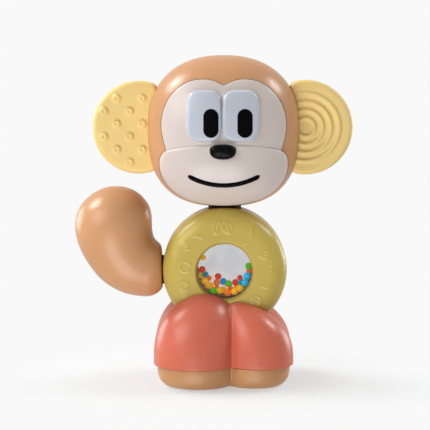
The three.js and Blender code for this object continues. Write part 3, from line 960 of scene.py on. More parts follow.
@dataclass
class Legs:
    """Trousers and sole, with the saddle that holds the ring."""

    places: Places
    side: float = 34.6
    half_length: float = 14.4
    big_lobe: float = 21.2
    small_lobe: float = 17.5
    top_left: float = 52.0
    top_right: float = 44.0
    crown: float = 1.95
    shoulder: float = 3.1
    side_dip: float = 10.0
    base: float = 10.4
    sole_inset: float = 2.0
    sole_edge: tuple[float, float] = (6.2, 8.4)
    sole_wall: float = 9.2
    gap: float = 0.3
    levels: int = 26

    def reach(self, angles: Array) -> Array:
        """Distance from the centre to the outline, the hull of four round lobes.

        Args:
            angles: Directions in radians.

        Returns:
            A distance for each direction.
        """
        c, s = np.cos(angles), np.sin(angles)
        level = np.abs(s) * self.side <= self.half_length * np.abs(c)
        best = np.where(level, self.side / np.maximum(np.abs(c), 1e-6), 0)
        for across, away, radius in ((-1, -1, self.big_lobe), (1, 1, self.big_lobe),
                                     (1, -1, self.small_lobe), (-1, 1, self.small_lobe)):
            x, y = across * (self.side - radius), away * self.half_length
            along = x * c + y * s
            off = x * x + y * y - along ** 2
            reach = along + np.sqrt(np.maximum(0, radius ** 2 - off))
            best = np.maximum(best, np.where(off < radius ** 2, reach, 0))
        return best

    def ring(self, inset: float, scale: float, height: Array | float, sides: int = 180) -> Array:
        """One ring of the legs' outline.

        Args:
            inset: How far it is pulled in all round.
            scale: Its share of the full size.
            height: Its height, for each point or for all.
            sides: Number of points.

        Returns:
            Rows of x, y and z.
        """
        angles = np.arange(sides) * TAU / sides
        reach = (self.reach(angles) - inset) * scale
        level = np.broadcast_to(height, angles.shape)
        return np.column_stack([reach * np.cos(angles), reach * np.sin(angles), level])

    def top(self, sides: int = 180) -> Array:
        """Height of the dome in each direction.

        Args:
            sides: Number of directions.

        Returns:
            A height for each direction.
        """
        angles = np.arange(sides) * TAU / sides
        mean, tilt = (self.top_left + self.top_right) / 2, (self.top_left - self.top_right) / 2
        return mean - tilt * np.cos(angles) - self.side_dip * np.abs(np.cos(angles)) ** 6

    def build(self, disc: bpy.types.Object) -> None:
        """Builds the trousers around the ring's disc, and the sole.

        Args:
            disc: The ring's outer body grown by the gap, which is used up.
        """
        rings = []
        for level in range(self.levels):
            lean = math.pi / 2 * level / self.levels
            scale = math.cos(lean) ** (2 / self.crown)
            rise = math.sin(lean) ** (2 / self.shoulder)
            rings.append(self.ring(0, scale, self.base + (self.top() - self.base) * rise))
        peak = np.array([0, 0, (self.top_left + self.top_right) / 2])
        trousers = loft("trousers", rings, end=peak)
        combined(trousers, disc, Boolean.CUT)
        moulded(trousers, 0.5, 8)
        dressed(trousers, CORAL, "legs", ["trousers"])

        rims = [self.ring(self.sole_inset + inset, 1, height)
                for inset, height in arc(1, 1, 1, 270, 180, 14) * self.sole_edge]
        wall = [self.ring(self.sole_inset, 1, height) for height in (self.sole_wall, self.base - self.gap)]
        sole = shade(loft("sole", [*rims, *wall]), 50)
        dressed(sole, SOLE_TAN, "legs", ["sole"])


# ---------------------------------------------------------------- ring


@dataclass
class Ring:
    """The bead-filled ring: two shells, a clear chamber and its beads."""

    places: Places
    radius: float = 30.8
    thickness: float = 35.0
    edge: float = 9.0
    wall: float = 2.4
    window: float = 14.5
    flare: float = 1.3
    chamber: float = 16.2
    chamber_wall: float = 1.5
    chamber_edge: float = 0.8
    gap: float = 0.3
    seam: float = 0.12
    past: float = 5.0

    def disc(self, name: str, grow: float) -> bpy.types.Object:
        """The ring's outer body without its window.

        Args:
            name: The object's name.
            grow: How far it is grown all over.

        Returns:
            The closed disc.
        """
        half = self.thickness / 2
        flat, deep = self.radius - self.edge, half - self.edge
        low = arc(flat, -deep, self.edge + grow, -90, 0, 16)
        high = arc(flat, deep, self.edge + grow, 0, 90, 16)
        profile = np.vstack([[(0, -half - grow)], low, high, [(0, half + grow)]])
        return turned(name, profile, Axis.Y, self.places.ring, 180)

    def shells(self) -> None:
        """Builds the two olive shells with their window, pockets and seam."""
        half = self.thickness / 2
        bore = self.window - self.flare
        body = self.disc("ring_body", 0)
        room = self.chamber + self.gap
        outlet = np.array([
            (0, -half - 1), (self.window + self.flare / 2, -half - 1), (bore, -half + self.wall),
            (room, -half + self.wall), (room, half - self.wall), (bore, half - self.wall),
            (self.window + self.flare / 2, half + 1), (0, half + 1)])
        combined(body, turned("outlet", outlet, Axis.Y, self.places.ring, 120), Boolean.CUT)
        body = merged("ring_body", [body, Motifs(self).build()])
        for node, magnet, axis in (("neck_hub", "ring_neck_magnet", Axis.Z),
                                   ("tail_hub", "ring_tail_magnet", Axis.X)):
            combined(body, self.pocket(node, magnet, axis), Boolean.CUT)
        for half_side in Half:
            name = f"ring_{half_side.name.lower()}"
            shell = halved(body, half_side, name, self.seam)
            moulded(shell, 0.35, 3)
            dressed(shell, OLIVE, "ring", [f"{name}_shell"])
        drop(body)

    def pocket(self, hub: str, magnet: str, axis: Axis) -> bpy.types.Object:
        """The stepped hole that takes a hub and, below it, a magnet.

        Args:
            hub: The frame's hub.
            magnet: The frame's magnet.
            axis: The axis that both lie on.

        Returns:
            The solid that cuts the hole.
        """
        hub_low, hub_high = node_box(hub)
        low, high = node_box(magnet)
        if axis is Axis.Z:
            centre = [middle_of(hub)[0], 0, 0]
            wide, narrow = (hub_high[0] - hub_low[0]) / 2, (high[0] - low[0]) / 2
            floor, ledge = low[2] - self.gap, hub_low[2] - self.gap
            mouth = hub_high[2] + self.past
        else:
            centre = [0, 0, middle_of(hub)[2]]
            wide, narrow = (hub_high[2] - hub_low[2]) / 2, (high[2] - low[2]) / 2
            floor, ledge = high[0] + self.gap, hub_high[0] + self.gap
            mouth = hub_low[0] - self.past
        wide, narrow = wide + self.gap, narrow + self.gap
        steps = [(0, floor), (narrow, floor), (narrow, ledge), (wide, ledge), (wide, mouth), (0, mouth)]
        return turned(f"{hub}_pocket", np.array(steps), axis, centre, 72)

    def cups(self) -> None:
        """Builds the two clear cups of the bead chamber."""
        lens = self.thickness / 2 - self.wall - self.gap
        inner, edge = self.chamber - self.chamber_wall, self.chamber_edge
        for half in Half:
            profile = np.array([
                (0, lens), *arc(self.chamber - edge, lens - edge, edge, 90, 0, 5),
                (self.chamber, self.seam), (inner, self.seam),
                *arc(inner - edge, lens - self.chamber_wall - edge, edge, 0, 90, 5),
                (0, lens - self.chamber_wall)]) * (1, half.value)
            name = f"bead_chamber_{half.name.lower()}"
            cup = turned(f"{name}_cup", profile, Axis.Y, self.places.ring, 128)
            clear = CLEAR if half is Half.FRONT else CLEAR_BACK
            dressed(shade(cup, 50), clear, "ring", [name])

    def beads(self) -> None:
        """Fills the chamber with one mesh of beads for each layer."""
        slots = {part["node"]: part["material_slot"] for part in frame["record"]["subparts"]}
        for layer in ("front", "middle", "back"):
            nodes = sorted(name for name in frame["nodes"] if name.startswith(f"bead_{layer}_"))
            boxes = [node_box(node) for node in nodes]
            mesh = bpy.data.meshes.new(layer)
            mesh.from_pydata([((low + high) / 2 * MM).tolist() for low, high in boxes], [], [])
            size = mesh.attributes.new("bead_radius", "FLOAT", "POINT")
            size.data.foreach_set("value", [float(high[0] - low[0]) / 2 * MM for low, high in boxes])
            tint = mesh.attributes.new(BEAD.attribute, "FLOAT_COLOR", "POINT")
            values = [BEAD_COLOURS[slots[node]] for node in nodes]
            tint.data.foreach_set("color", np.ravel(values).tolist())
            base = bpy.data.objects.new(layer, mesh)
            bpy.context.scene.collection.objects.link(base)
            ball = self.ball()
            recipe = Recipe("settled_beads")
            shape = recipe.node("GeometryNodeObjectInfo", None, {"Object": recipe.asks("Bead", "Object")})
            size_of = recipe.node("GeometryNodeInputNamedAttribute", {"data_type": "FLOAT"},
                                  {"Name": "bead_radius"})
            turn = recipe.node("FunctionNodeRandomValue", {"data_type": "FLOAT_VECTOR"},
                               {"Max": (TAU, TAU, TAU), "Seed": recipe.asks("Seed", "Int")})
            placed = recipe.node("GeometryNodeInstanceOnPoints", None, {
                "Points": recipe.geometry, "Instance": shape.outputs["Geometry"],
                "Rotation": turn.outputs[0],
                "Scale": recipe.point(*[recipe.math("MULTIPLY", size_of.outputs[0],
                                                    recipe.asks("Fill", "Float"))] * 3)})
            made = recipe.serve(f"beads_{layer}", placed.outputs[0], BEAD,
                                {"Bead": ball, "Seed": 7, "Fill": 1 / MM}, base)
            drop(ball)
            dressed(shade(made), BEAD, f"{layer}_beads", nodes)

    def ball(self) -> bpy.types.Object:
        """One bead of unit radius, with its parting line and gate mark.

        Returns:
            The closed bead.
        """
        angles = np.linspace(-math.pi / 2, math.pi / 2, 33)
        swell = 1 + 0.012 * np.exp(-(angles / 0.05) ** 2) - 0.03 * np.exp(-((angles - 1.57) / 0.22) ** 2)
        profile = np.column_stack([np.cos(angles) * swell, np.sin(angles) * swell])
        profile[0, 0] = profile[-1, 0] = 0
        return turned("bead", profile, Axis.Z, (0, 0, 0), 40)

    def build(self) -> None:
        """Builds every piece of the ring."""
        self.shells()
        self.cups()
        self.beads()


@dataclass
class Motifs:
    """Raised line drawings on both faces of the ring: leaves, a fruit, a curl and short strokes.

    Each line is drawn across and up from the ring's middle, and laid on the ring's own curved face.
    """

    ring: Ring
    line: float = 0.42
    sunk: float = 0.12

    def strokes(self) -> list[Array]:
        """Draws every line.

        Returns:
            Rows of across and up for each line.
        """
        ways = np.linspace(0, 1, 24)
        lines = []
        for x, z, length, width, turn in ((-3.4, 21.6, 6.6, 2.3, 76), (1.3, 21.8, 6.0, 2.2, 108),
                                          (-20.0, -7.0, 5.4, 1.9, 30), (15.6, -14.2, 5.6, 2.0, -40)):
            bow = width * np.sin(math.pi * ways)
            leaf = np.column_stack([length * (ways - 0.5), bow])
            vein = np.column_stack([length * (ways - 0.5) * 0.8, 0 * ways])
            for shape in (leaf, leaf * (1, -1), vein):
                lines.append(self.placed(shape, x, z, turn))
        lines.append(arc(8.0, 19.0, 5.4, -75, 150, 30))
        lines.append(arc(-14.6, 9.6, 8.0, 62, 128, 16))
        for x, z, turn in ((-22.0, 12.2, 12), (-22.2, 10.6, 12), (-18.9, 12.4, 12), (-18.6, 10.8, 12)):
            lines.append(self.placed(arc(0, -1.2, 1.7, 40, 140, 8), x, z, turn))
        curl = np.linspace(0, 1.55 * TAU, 44)
        spread = 0.5 + 2.1 * curl / curl[-1]
        lines.append(np.column_stack([19.4 + spread * np.cos(curl), 8.2 + spread * np.sin(curl)]))
        for z in (4.6, 2.5, 0.4):
            lines.append(self.placed(arc(0, -1.4, 2.3, 38, 142, 10), 24.6, z, 0))
        moon = np.vstack([arc(0, 0, 5.6, 200, 320, 20), arc(0.5, 2.2, 6.4, 300, 222, 16)])
        lines.append(self.placed(np.vstack([moon, moon[:1]]), 20.2, -2.2, 52))
        lines.append(arc(-19.6, 2.4, 2.6, 20, 330, 22))
        return lines

    @staticmethod
    def placed(shape: Array, x: float, z: float, turn: float) -> Array:
        """A shape turned and moved.

        Args:
            shape: Rows of across and up.
            x: How far it is moved across.
            z: How far it is moved up.
            turn: How far it is turned, in degrees.

        Returns:
            The placed rows.
        """
        c, s = math.cos(math.radians(turn)), math.sin(math.radians(turn))
        return shape @ np.array([[c, s], [-s, c]]) + (x, z)

    def build(self) -> bpy.types.Object:
        """Lays every line on both faces and sweeps a round cord along it.

        Returns:
            One mesh of all the cords.
        """
        points, edges = [], []
        for stroke in self.strokes():
            start = len(points)
            points.extend((x * MM, 0.0, z * MM) for x, z in stroke)
            edges.extend((start + i, start + i + 1) for i in range(len(stroke) - 1))
        mesh = bpy.data.meshes.new("strokes")
        mesh.from_pydata(points, edges, [])
        base = bpy.data.objects.new("strokes", mesh)
        bpy.context.scene.collection.objects.link(base)
        recipe = Recipe("raised_lines")
        flat, edge, half = recipe.asks("Flat radius"), recipe.asks("Edge radius"), recipe.asks("Half depth")
        sunk, line = recipe.asks("Sunk"), recipe.asks("Line radius")
        step, place = recipe.asks("Step"), recipe.asks("Place", "Vector")
        curve = recipe.node("GeometryNodeMeshToCurve", None, {0: recipe.geometry})
        even = recipe.node("GeometryNodeResampleCurve", {"mode": "LENGTH"},
                           {"Curve": curve.outputs[0], "Length": step})
        spot = recipe.node("GeometryNodeInputPosition").outputs[0]
        reach = recipe.node("ShaderNodeVectorMath", {"operation": "LENGTH"}, {0: spot}).outputs["Value"]
        over = recipe.math("MAXIMUM", recipe.math("SUBTRACT", reach, flat), 0.0)
        fall = recipe.math("SQRT", recipe.math("SUBTRACT", recipe.math("MULTIPLY", edge, edge),
                                               recipe.math("MULTIPLY", over, over)))
        level = recipe.math("SUBTRACT", recipe.math("ADD", recipe.math("SUBTRACT", half, edge), fall), sunk)
        section = recipe.node("GeometryNodeCurvePrimitiveCircle", None, {"Resolution": 10, "Radius": line})
        both = recipe.node("GeometryNodeJoinGeometry")
        for way in (-1.0, 1.0):
            lift = recipe.point(0.0, recipe.math("MULTIPLY", level, way), 0.0)
            laid = recipe.node("GeometryNodeSetPosition", None, {"Geometry": even.outputs[0], "Offset": lift})
            cord = recipe.node("GeometryNodeCurveToMesh", None, {
                "Curve": laid.outputs[0], "Profile Curve": section.outputs[0], "Fill Caps": True})
            recipe.tree.links.new(cord.outputs[0], both.inputs[0])
        moved = recipe.node("GeometryNodeTransform", None, {
            "Geometry": both.outputs[0], "Translation": place})
        ring = self.ring
        return recipe.serve("line_drawings", moved.outputs[0], OLIVE, {
            "Flat radius": (ring.radius - ring.edge) * MM, "Edge radius": ring.edge * MM,
            "Half depth": ring.thickness / 2 * MM, "Sunk": self.sunk * MM, "Line radius": self.line * MM,
            "Step": 0.4 * MM, "Place": [float(value) * MM for value in ring.places.ring]}, base)


# ---------------------------------------------------------------- hubs and magnets


@dataclass
class Hubs:
    """The hubs, coloured dark brown as painted shade in the gaps between the parts, and the magnets in every
    section.
    """

    edge: float = 0.6
    magnet_edge: float = 0.35
    pocket_gap: float = 0.3

    def hub(self, node: str, magnet: str, axis: Axis, body: str) -> None:
        """Builds one hub with the pocket for its magnet.

        Args:
            node: The frame's hub.
            magnet: The frame's magnet that it holds.
            axis: The hub's axis.
            body: The body it rides on.
        """
        index = 2 if axis is Axis.Z else 0
        across = 0 if axis is Axis.Z else 2
        low, high = node_box(node)
        held_low, held_high = node_box(magnet)
        centre = middle_of(node)
        radius = (high[across] - low[across]) / 2
        hole = (held_high[across] - held_low[across]) / 2 + self.pocket_gap
        upward = axis is Axis.Z and held_high[index] > centre[index] + 1
        bottom, top = (low[index], high[index]) if upward else (high[index], low[index])
        inner = held_low[index] - self.pocket_gap if upward else held_high[index] + self.pocket_gap
        way = 1 if upward else -1
        ease = self.edge * 0.3
        profile = np.array([
            (0, bottom), (radius - self.edge, bottom), (radius - ease, bottom + way * ease),
            (radius, bottom + way * self.edge), (radius, top - way * self.edge),
            (radius - self.edge, top), (hole, top), (hole, inner), (0, inner)])
        centre[index] = 0
        piece = turned(f"{node}_puck", profile, axis, centre, 96)
        dressed(shade(piece, 50), HUB_PAINTED_SHADE, body, [node])

    def magnet(self, node: str, axis: Axis, body: str) -> None:
        """Builds one plated magnet disc with rounded edges.

        Args:
            node: The frame's magnet.
            axis: The magnet's axis.
            body: The body it rides on.
        """
        index = 2 if axis is Axis.Z else 0
        across = 0 if axis is Axis.Z else 2
        low, high = node_box(node)
        centre = middle_of(node)
        centre[index] = 0
        radius = (high[across] - low[across]) / 2
        profile = rounded_bar(radius, low[index], high[index], self.magnet_edge)
        piece = turned(f"{node}_disc", profile, axis, centre, 72)
        dressed(shade(piece, 50), MAGNET, body, [node])

    def build(self) -> None:
        """Builds every hub and magnet."""
        self.hub("neck_hub", "neck_magnet", Axis.Z, "neck")
        self.hub("tail_hub", "tail_magnet", Axis.X, "tail_mount")
        for node, axis, body in (
                ("neck_magnet", Axis.Z, "neck"), ("tail_magnet", Axis.X, "tail_mount"),
                ("ring_neck_magnet", Axis.Z, "ring"), ("ring_tail_magnet", Axis.X, "ring"),
                ("ring_seat_magnet", Axis.Z, "ring"), ("saddle_magnet", Axis.Z, "legs")):
            self.magnet(node, axis, body)


# ---------------------------------------------------------------- head


@dataclass
class Head:
    """The egg-shaped head and everything on its face."""

    places: Places
    drop: float = 0.4
    half_width: float = 37.75
    half_height: float = 37.4
    half_depth: float = 30.0
    top_power: float = 2.3
    bottom_power: float = 2.6
    depth_power: float = 2.35
    seam: float = 0.12
    face_side: float = 30.35
    face_top: float = 25.3
    notch: float = 3.3
    muzzle_side: float = 31.4
    muzzle_top: float = -5.7
    muzzle_bottom: float = -37.0
    eye_left: tuple[float, float] = (-18.0, -0.98)
    eye_right: tuple[float, float] = (-0.82, 17.1)
    eye_bottom: float = -4.4
    eye_top: float = 20.2
    eye_power: float = 3.9
    pupil_left: float = -6.2
    pupil_right: float = 10.1
    pupil_middle: float = 4.4
    pupil_radius: float = 3.65
    pupil_rise: float = 3.25
    nose_middle: tuple[float, float] = (-0.5, -9.3)
    nose_half: tuple[float, float] = (6.3, 3.65)
    nose_flare: float = 0.1
    smile_low: float = -25.4
    smile_radius: float = 34.8
    smile_half_angle: float = 29.6
    smile_tall: float = 1.3
    smile_proud: float = 0.75
    smile_blunt: int = 5
    socket_gap: float = 0.22
    socket_depth: float = 1.6
    rim_steps: int = 5

    @property
    def middle(self) -> Array:
        """The egg's middle, a little below the middle of the face."""
        return self.places.head - (0, 0, self.drop)

    def reach(self, angles: Array, grow: float | Array = 0.0) -> Array:
        """Distance from the middle to the front outline.

        Args:
            angles: Directions in radians.
            grow: How far the egg is grown, for each direction or for all.

        Returns:
            A distance for each direction.
        """
        c, s = np.cos(angles), np.sin(angles)
        power = self.bottom_power + (self.top_power - self.bottom_power) * (1 + s) / 2
        across = np.abs(c / (self.half_width + grow)) ** power
        up = np.abs(s / (self.half_height + grow)) ** power
        return (across + up) ** (-1 / power)

    def front(self, spots: Array, grow: float | Array) -> Array:
        """Points on the front of the grown egg at places given across and up from its middle.

        Args:
            spots: Rows of x and z from the head's middle.
            grow: How far the egg is grown, for each spot or for all.

        Returns:
            Rows of x, y and z.
        """
        spots = spots + (0, self.drop)
        distance = np.linalg.norm(spots, axis=1)
        share = distance / self.reach(np.arctan2(spots[:, 1], spots[:, 0]), grow)
        depth = (self.half_depth + grow) * np.maximum(0, 1 - share ** self.depth_power) ** (
            1 / self.depth_power)
        return np.column_stack([spots[:, 0], -depth, spots[:, 1]]) + self.middle

    def egg(self, around: int = 160, along: int = 72) -> bpy.types.Object:
        """The whole egg.

        Args:
            around: Number of points in a ring.
            along: Number of steps from front to back.

        Returns:
            The closed egg.
        """
        angles = np.arange(around) * TAU / around
        rings = []
        for row in range(1, along):
            lean = math.pi * (row / along - 0.5)
            y = self.half_depth * math.copysign(abs(math.sin(lean)) ** (2 / self.depth_power), lean)
            reach = self.reach(angles) * math.cos(lean) ** (2 / self.depth_power)
            rings.append(np.column_stack([reach * np.cos(angles), np.full(around, y),
                                          reach * np.sin(angles)]) + self.middle)
        ends = [self.middle + (0, side * self.half_depth, 0) for side in (-1, 1)]
        return loft("egg", rings, *ends)

    def plate(self, name: str, outline: Array, proud: float, edge: float, inner: int = 12,
              swell: float = 0.0, sunk: float = 0.8) -> bpy.types.Object:
        """A plate on the face that follows the egg, with a rounded edge.

        Args:
            name: The plate's name.
            outline: Its closed outline, across and up from the head's middle.
            proud: How far its surface stands above the egg.
            edge: Radius of the rounded edge.
            inner: Number of rings inside the edge.
            swell: How much further its middle stands out.
            sunk: How far its back lies below the egg.

        Returns:
            The closed plate.
        """
        centre = (outline.max(0) + outline.min(0)) / 2
        ways = centre - outline
        lengths = np.linalg.norm(ways, axis=1, keepdims=True)
        ways = ways / lengths
        rings = [self.front(outline, -sunk), self.front(outline, proud - edge)]
        for turn in np.linspace(0, math.pi / 2, self.rim_steps + 1)[1:]:
            inset = edge * (1 - math.cos(turn))
            rings.append(self.front(outline + ways * inset, proud - edge * (1 - math.sin(turn))))
        rim = outline + ways * edge
        for step in range(1, inner):
            share = step / inner
            lift = proud + swell * smoothstep(np.array(share * 1.2))
            rings.append(self.front(rim + (centre - rim) * share, float(lift)))
        tip = self.front(centre[None, :], proud + swell)[0]
        back = self.front(centre[None, :], -sunk)[0]
        return shade(loft(name, rings, back, tip), 60)

    def mirrored(self, half: Array, count: int, ease: int = 2) -> Array:
        """A whole outline from its right half.

        Args:
            half: Rows from the top middle to the bottom middle.
            count: Number of points wanted.
            ease: Rounds of softening.

        Returns:
            The evenly spaced outline.
        """
        other = half[::-1] * (-1, 1)
        return softened(evenly(np.vstack([half, other[1:-1]]), count), ease)

    def face_outline(self) -> Array:
        """The heart-topped outline of the face plate.

        Returns:
            Rows of x and z from the head's middle.
        """
        side, top = self.face_side, self.face_top
        lobe = side / 3
        half = np.vstack([
            bezier([(0, top - self.notch), (lobe * 0.3, top - 1), (lobe * 0.6, top), (lobe, top)], 20),
            bezier([(lobe, top), (side * 0.75, top), (side, top * 0.55), (side, top * 0.13)], 30),
            bezier([(side, top * 0.13), (side, -top * 0.05), (side * 0.96, -top * 0.2),
                    (side * 0.92, self.muzzle_top - 3)], 20),
            [(side * 0.9, self.muzzle_top - 5), (0, self.muzzle_top - 5)]])
        return self.mirrored(half, 200)

    def muzzle_outline(self) -> Array:
        """The wide outline of the muzzle.

        Returns:
            Rows of x and z from the head's middle.
        """
        side, top, bottom = self.muzzle_side, self.muzzle_top, self.muzzle_bottom
        cheek = top - 10
        half = np.vstack([
            bezier([(0, top), (side * 0.3, top), (side * 0.6, top - 1), (side * 0.86, cheek + 6.8)], 30),
            bezier([(side * 0.86, cheek + 6.8), (side * 0.97, cheek + 6), (side, cheek + 3),
                    (side, cheek)], 16),
            bezier([(side, cheek), (side, cheek - 12), (side * 0.62, bottom), (0, bottom)], 50),
            [(0, bottom)]])
        return self.mirrored(half, 220)

    def eye_outline(self, left: float, right: float) -> Array:
        """An upright rounded rectangle with slightly bowed sides.

        Args:
            left: Its left side.
            right: Its right side.

        Returns:
            The evenly spaced outline.
        """
        angles = np.arange(720) * TAU / 720
        c, s = np.cos(angles), np.sin(angles)
        power = 2 / self.eye_power
        x = (left + right) / 2 + (right - left) / 2 * np.sign(c) * np.abs(c) ** power
        middle, rise = (self.eye_bottom + self.eye_top) / 2, (self.eye_top - self.eye_bottom) / 2
        z = middle + rise * np.sign(s) * np.abs(s) ** power
        return evenly(np.column_stack([x, z]), 120)

    def smile(self, pad: bpy.types.Object) -> bpy.types.Object:
        """The mouth, a round-ended cord half sunk into the muzzle.

        Args:
            pad: The muzzle that it lies on.

        Returns:
            The closed cord.
        """
        line = arc(0, self.smile_low + self.smile_radius, self.smile_radius,
                   270 - self.smile_half_angle, 270 + self.smile_half_angle, 80)
        skin = BVHTree.FromPolygons([v.co for v in pad.data.vertices],
                                    [face.vertices for face in pad.data.polygons])
        spots = []
        for x, z in line:
            start = Vector((x, -80, z + self.places.head[2])) * MM
            spots.append(np.array(skin.ray_cast(start, Vector((0, 1, 0)))[0]) / MM)
        turns = np.arange(20) * TAU / 20
        rings = []
        for i, spot in enumerate(spots):
            ahead = spots[min(i + 1, len(spots) - 1)] - spots[max(i - 1, 0)]
            ahead /= np.linalg.norm(ahead)
            up = np.cross(ahead, (0, -1, 0))
            up /= np.linalg.norm(up)
            left = min(i, len(spots) - 1 - i) + 0.3
            size = math.sqrt(1 - max(0.0, 1 - left / self.smile_blunt) ** 2)
            rings.append(spot + np.outer(np.cos(turns) * self.smile_tall * size, up)
                         + np.outer(np.sin(turns) * self.smile_proud * size, (0, -1, 0)))
        return shade(loft("smile_line", rings))

    def nose_outline(self) -> Array:
        """The nose, a rounded oblong that is wider at its top.

        Returns:
            Rows of x and z from the head's middle.
        """
        angles = np.arange(96) * TAU / 96
        c, s = np.cos(angles), np.sin(angles)
        x = self.nose_half[0] * np.sign(c) * np.abs(c) ** 0.8 * (1 + self.nose_flare * s)
        return np.column_stack([x, self.nose_half[1] * np.sign(s) * np.abs(s) ** 0.8]) + self.nose_middle

    def pill(self, x: float) -> Array:
        """A pupil's slim upright outline.

        Args:
            x: Its middle across.

        Returns:
            The evenly spaced outline.
        """
        z, rise, radius = self.pupil_middle, self.pupil_rise, self.pupil_radius
        return evenly(np.vstack([arc(x, z + rise, radius, 0, 180, 24),
                                 arc(x, z - rise, radius, 180, 360, 24)]), 80)

    def build(self) -> None:
        """Builds the shells and the face."""
        egg = self.egg()
        shells = {half: halved(egg, half, f"head_{half.name.lower()}", self.seam) for half in Half}
        drop(egg)
        for outline in (self.face_outline(), self.muzzle_outline()):
            grown = self.grown(outline, self.socket_gap)
            socket = self.plate("socket", grown, proud=6, edge=0.2, inner=10, sunk=self.socket_depth)
            combined(shells[Half.FRONT], socket, Boolean.CUT)
        for half, shell in shells.items():
            dressed(shade(shell, 50), TAN, "head", [f"{shell.name}_shell"])
        face = self.plate("face", self.face_outline(), proud=0.55, edge=0.7, inner=14, swell=0.25,
                          sunk=1.3)
        dressed(face, CREAM, "head", ["face_plate"])
        muzzle = self.plate("muzzle_pad", self.muzzle_outline(), proud=1.7, edge=1.6, inner=18, swell=1.0,
                            sunk=1.3)
        dressed(muzzle, CREAM, "head", ["muzzle"])
        for side, eye, pupil_x in (("left", self.eye_left, self.pupil_left),
                                   ("right", self.eye_right, self.pupil_right)):
            pad = self.plate(f"eye_{side}", self.eye_outline(*eye), proud=2.6, edge=1.6, inner=8)
            dressed(pad, EYE_WHITE, "head", [f"eye_plate_{side}"])
            pupil = self.plate(f"pupil_{side}_pad", self.pill(pupil_x), proud=2.85, edge=0.3, inner=6)
            dressed(pupil, BLACK_SATIN, "head", [f"pupil_{side}"])
        nose = self.plate("nose_button", self.nose_outline(), proud=5.0, edge=2.6, inner=8, swell=0.5)
        dressed(nose, BLACK, "head", ["nose"])
        dressed(self.smile(muzzle), BLACK_SATIN, "head", ["smile"])

    @staticmethod
    def grown(outline: Array, gap: float) -> Array:
        """An outline moved outwards all round.

        Args:
            outline: Rows of x and z.
            gap: How far it moves.

        Returns:
            The grown outline.
        """
        along = np.roll(outline, -1, 0) - np.roll(outline, 1, 0)
        along /= np.linalg.norm(along, axis=1, keepdims=True)
        return outline + np.column_stack([along[:, 1], -along[:, 0]]) * gap * Head.winding(outline)

    @staticmethod
    def winding(outline: Array) -> float:
        """Plus one for an anticlockwise outline, minus one for a clockwise one."""
        x, z = outline.T
        return float(np.sign(np.sum(x * np.roll(z, -1) - np.roll(x, -1) * z)))


# ---------------------------------------------------------------- ears


@dataclass
class Ear:
    """One soft teether ear."""

    places: Places
    name: str
    side: int
    centre: float
    radius: float
    thickness: float = 11.0
    edge: float = 2.4
    root: float = 32.8
    corner: float = 4.0

    def outline(self) -> Array:
        """The D-shaped outline, flat at its root.

        Returns:
            Rows of x and z.
        """
        corner_x = self.root + self.corner
        corner_z = math.sqrt((self.radius - self.corner) ** 2 - (corner_x - self.centre) ** 2)
        turn = math.degrees(math.atan2(corner_z, corner_x - self.centre))
        points = np.vstack([
            arc(self.centre, 0, self.radius, -turn, turn, 90),
            arc(corner_x, corner_z, self.corner, turn, 180, 14)[1:],
            arc(corner_x, -corner_z, self.corner, 180, 360 - turn, 14)[:-1]])
        rise = self.places.head[2] + self.places.ear_rise
        return evenly(points, 220) * (self.side, 1) + (0, rise)

    def plate(self) -> bpy.types.Object:
        """The plain plate with rounded edges.

        Returns:
            The closed plate.
        """
        outline = self.outline()
        centre = np.array([self.side * self.centre, self.places.head[2] + self.places.ear_rise])
        ways = centre - outline
        ways /= np.linalg.norm(ways, axis=1, keepdims=True)
        half = self.thickness / 2
        rings = []
        for turn in np.linspace(-90, 90, 15):
            inset = self.edge * (1 - math.cos(math.radians(turn)))
            lift = (half - self.edge) * np.sign(turn) + self.edge * math.sin(math.radians(turn))
            flat = outline + ways * inset
            rings.append(np.column_stack([flat[:, 0], np.full(len(flat), lift), flat[:, 1]]))
        ends = [np.array([centre[0], y, centre[1]]) for y in (-half, half)]
        return loft(self.name, rings, *ends)

    def finish(self, plate: bpy.types.Object, relief: bpy.types.Object) -> None:
        """Moulds the relief into the plate and dresses the ear.

        Args:
            plate: The plain ear.
            relief: The nubs or ridges, which are used up.
        """
        combined(plate, relief, Boolean.JOIN)
        moulded(plate, 0.35, 2)
        dressed(plate, EAR_YELLOW, "head", [f"ear_{self.name.split('_')[1]}"])


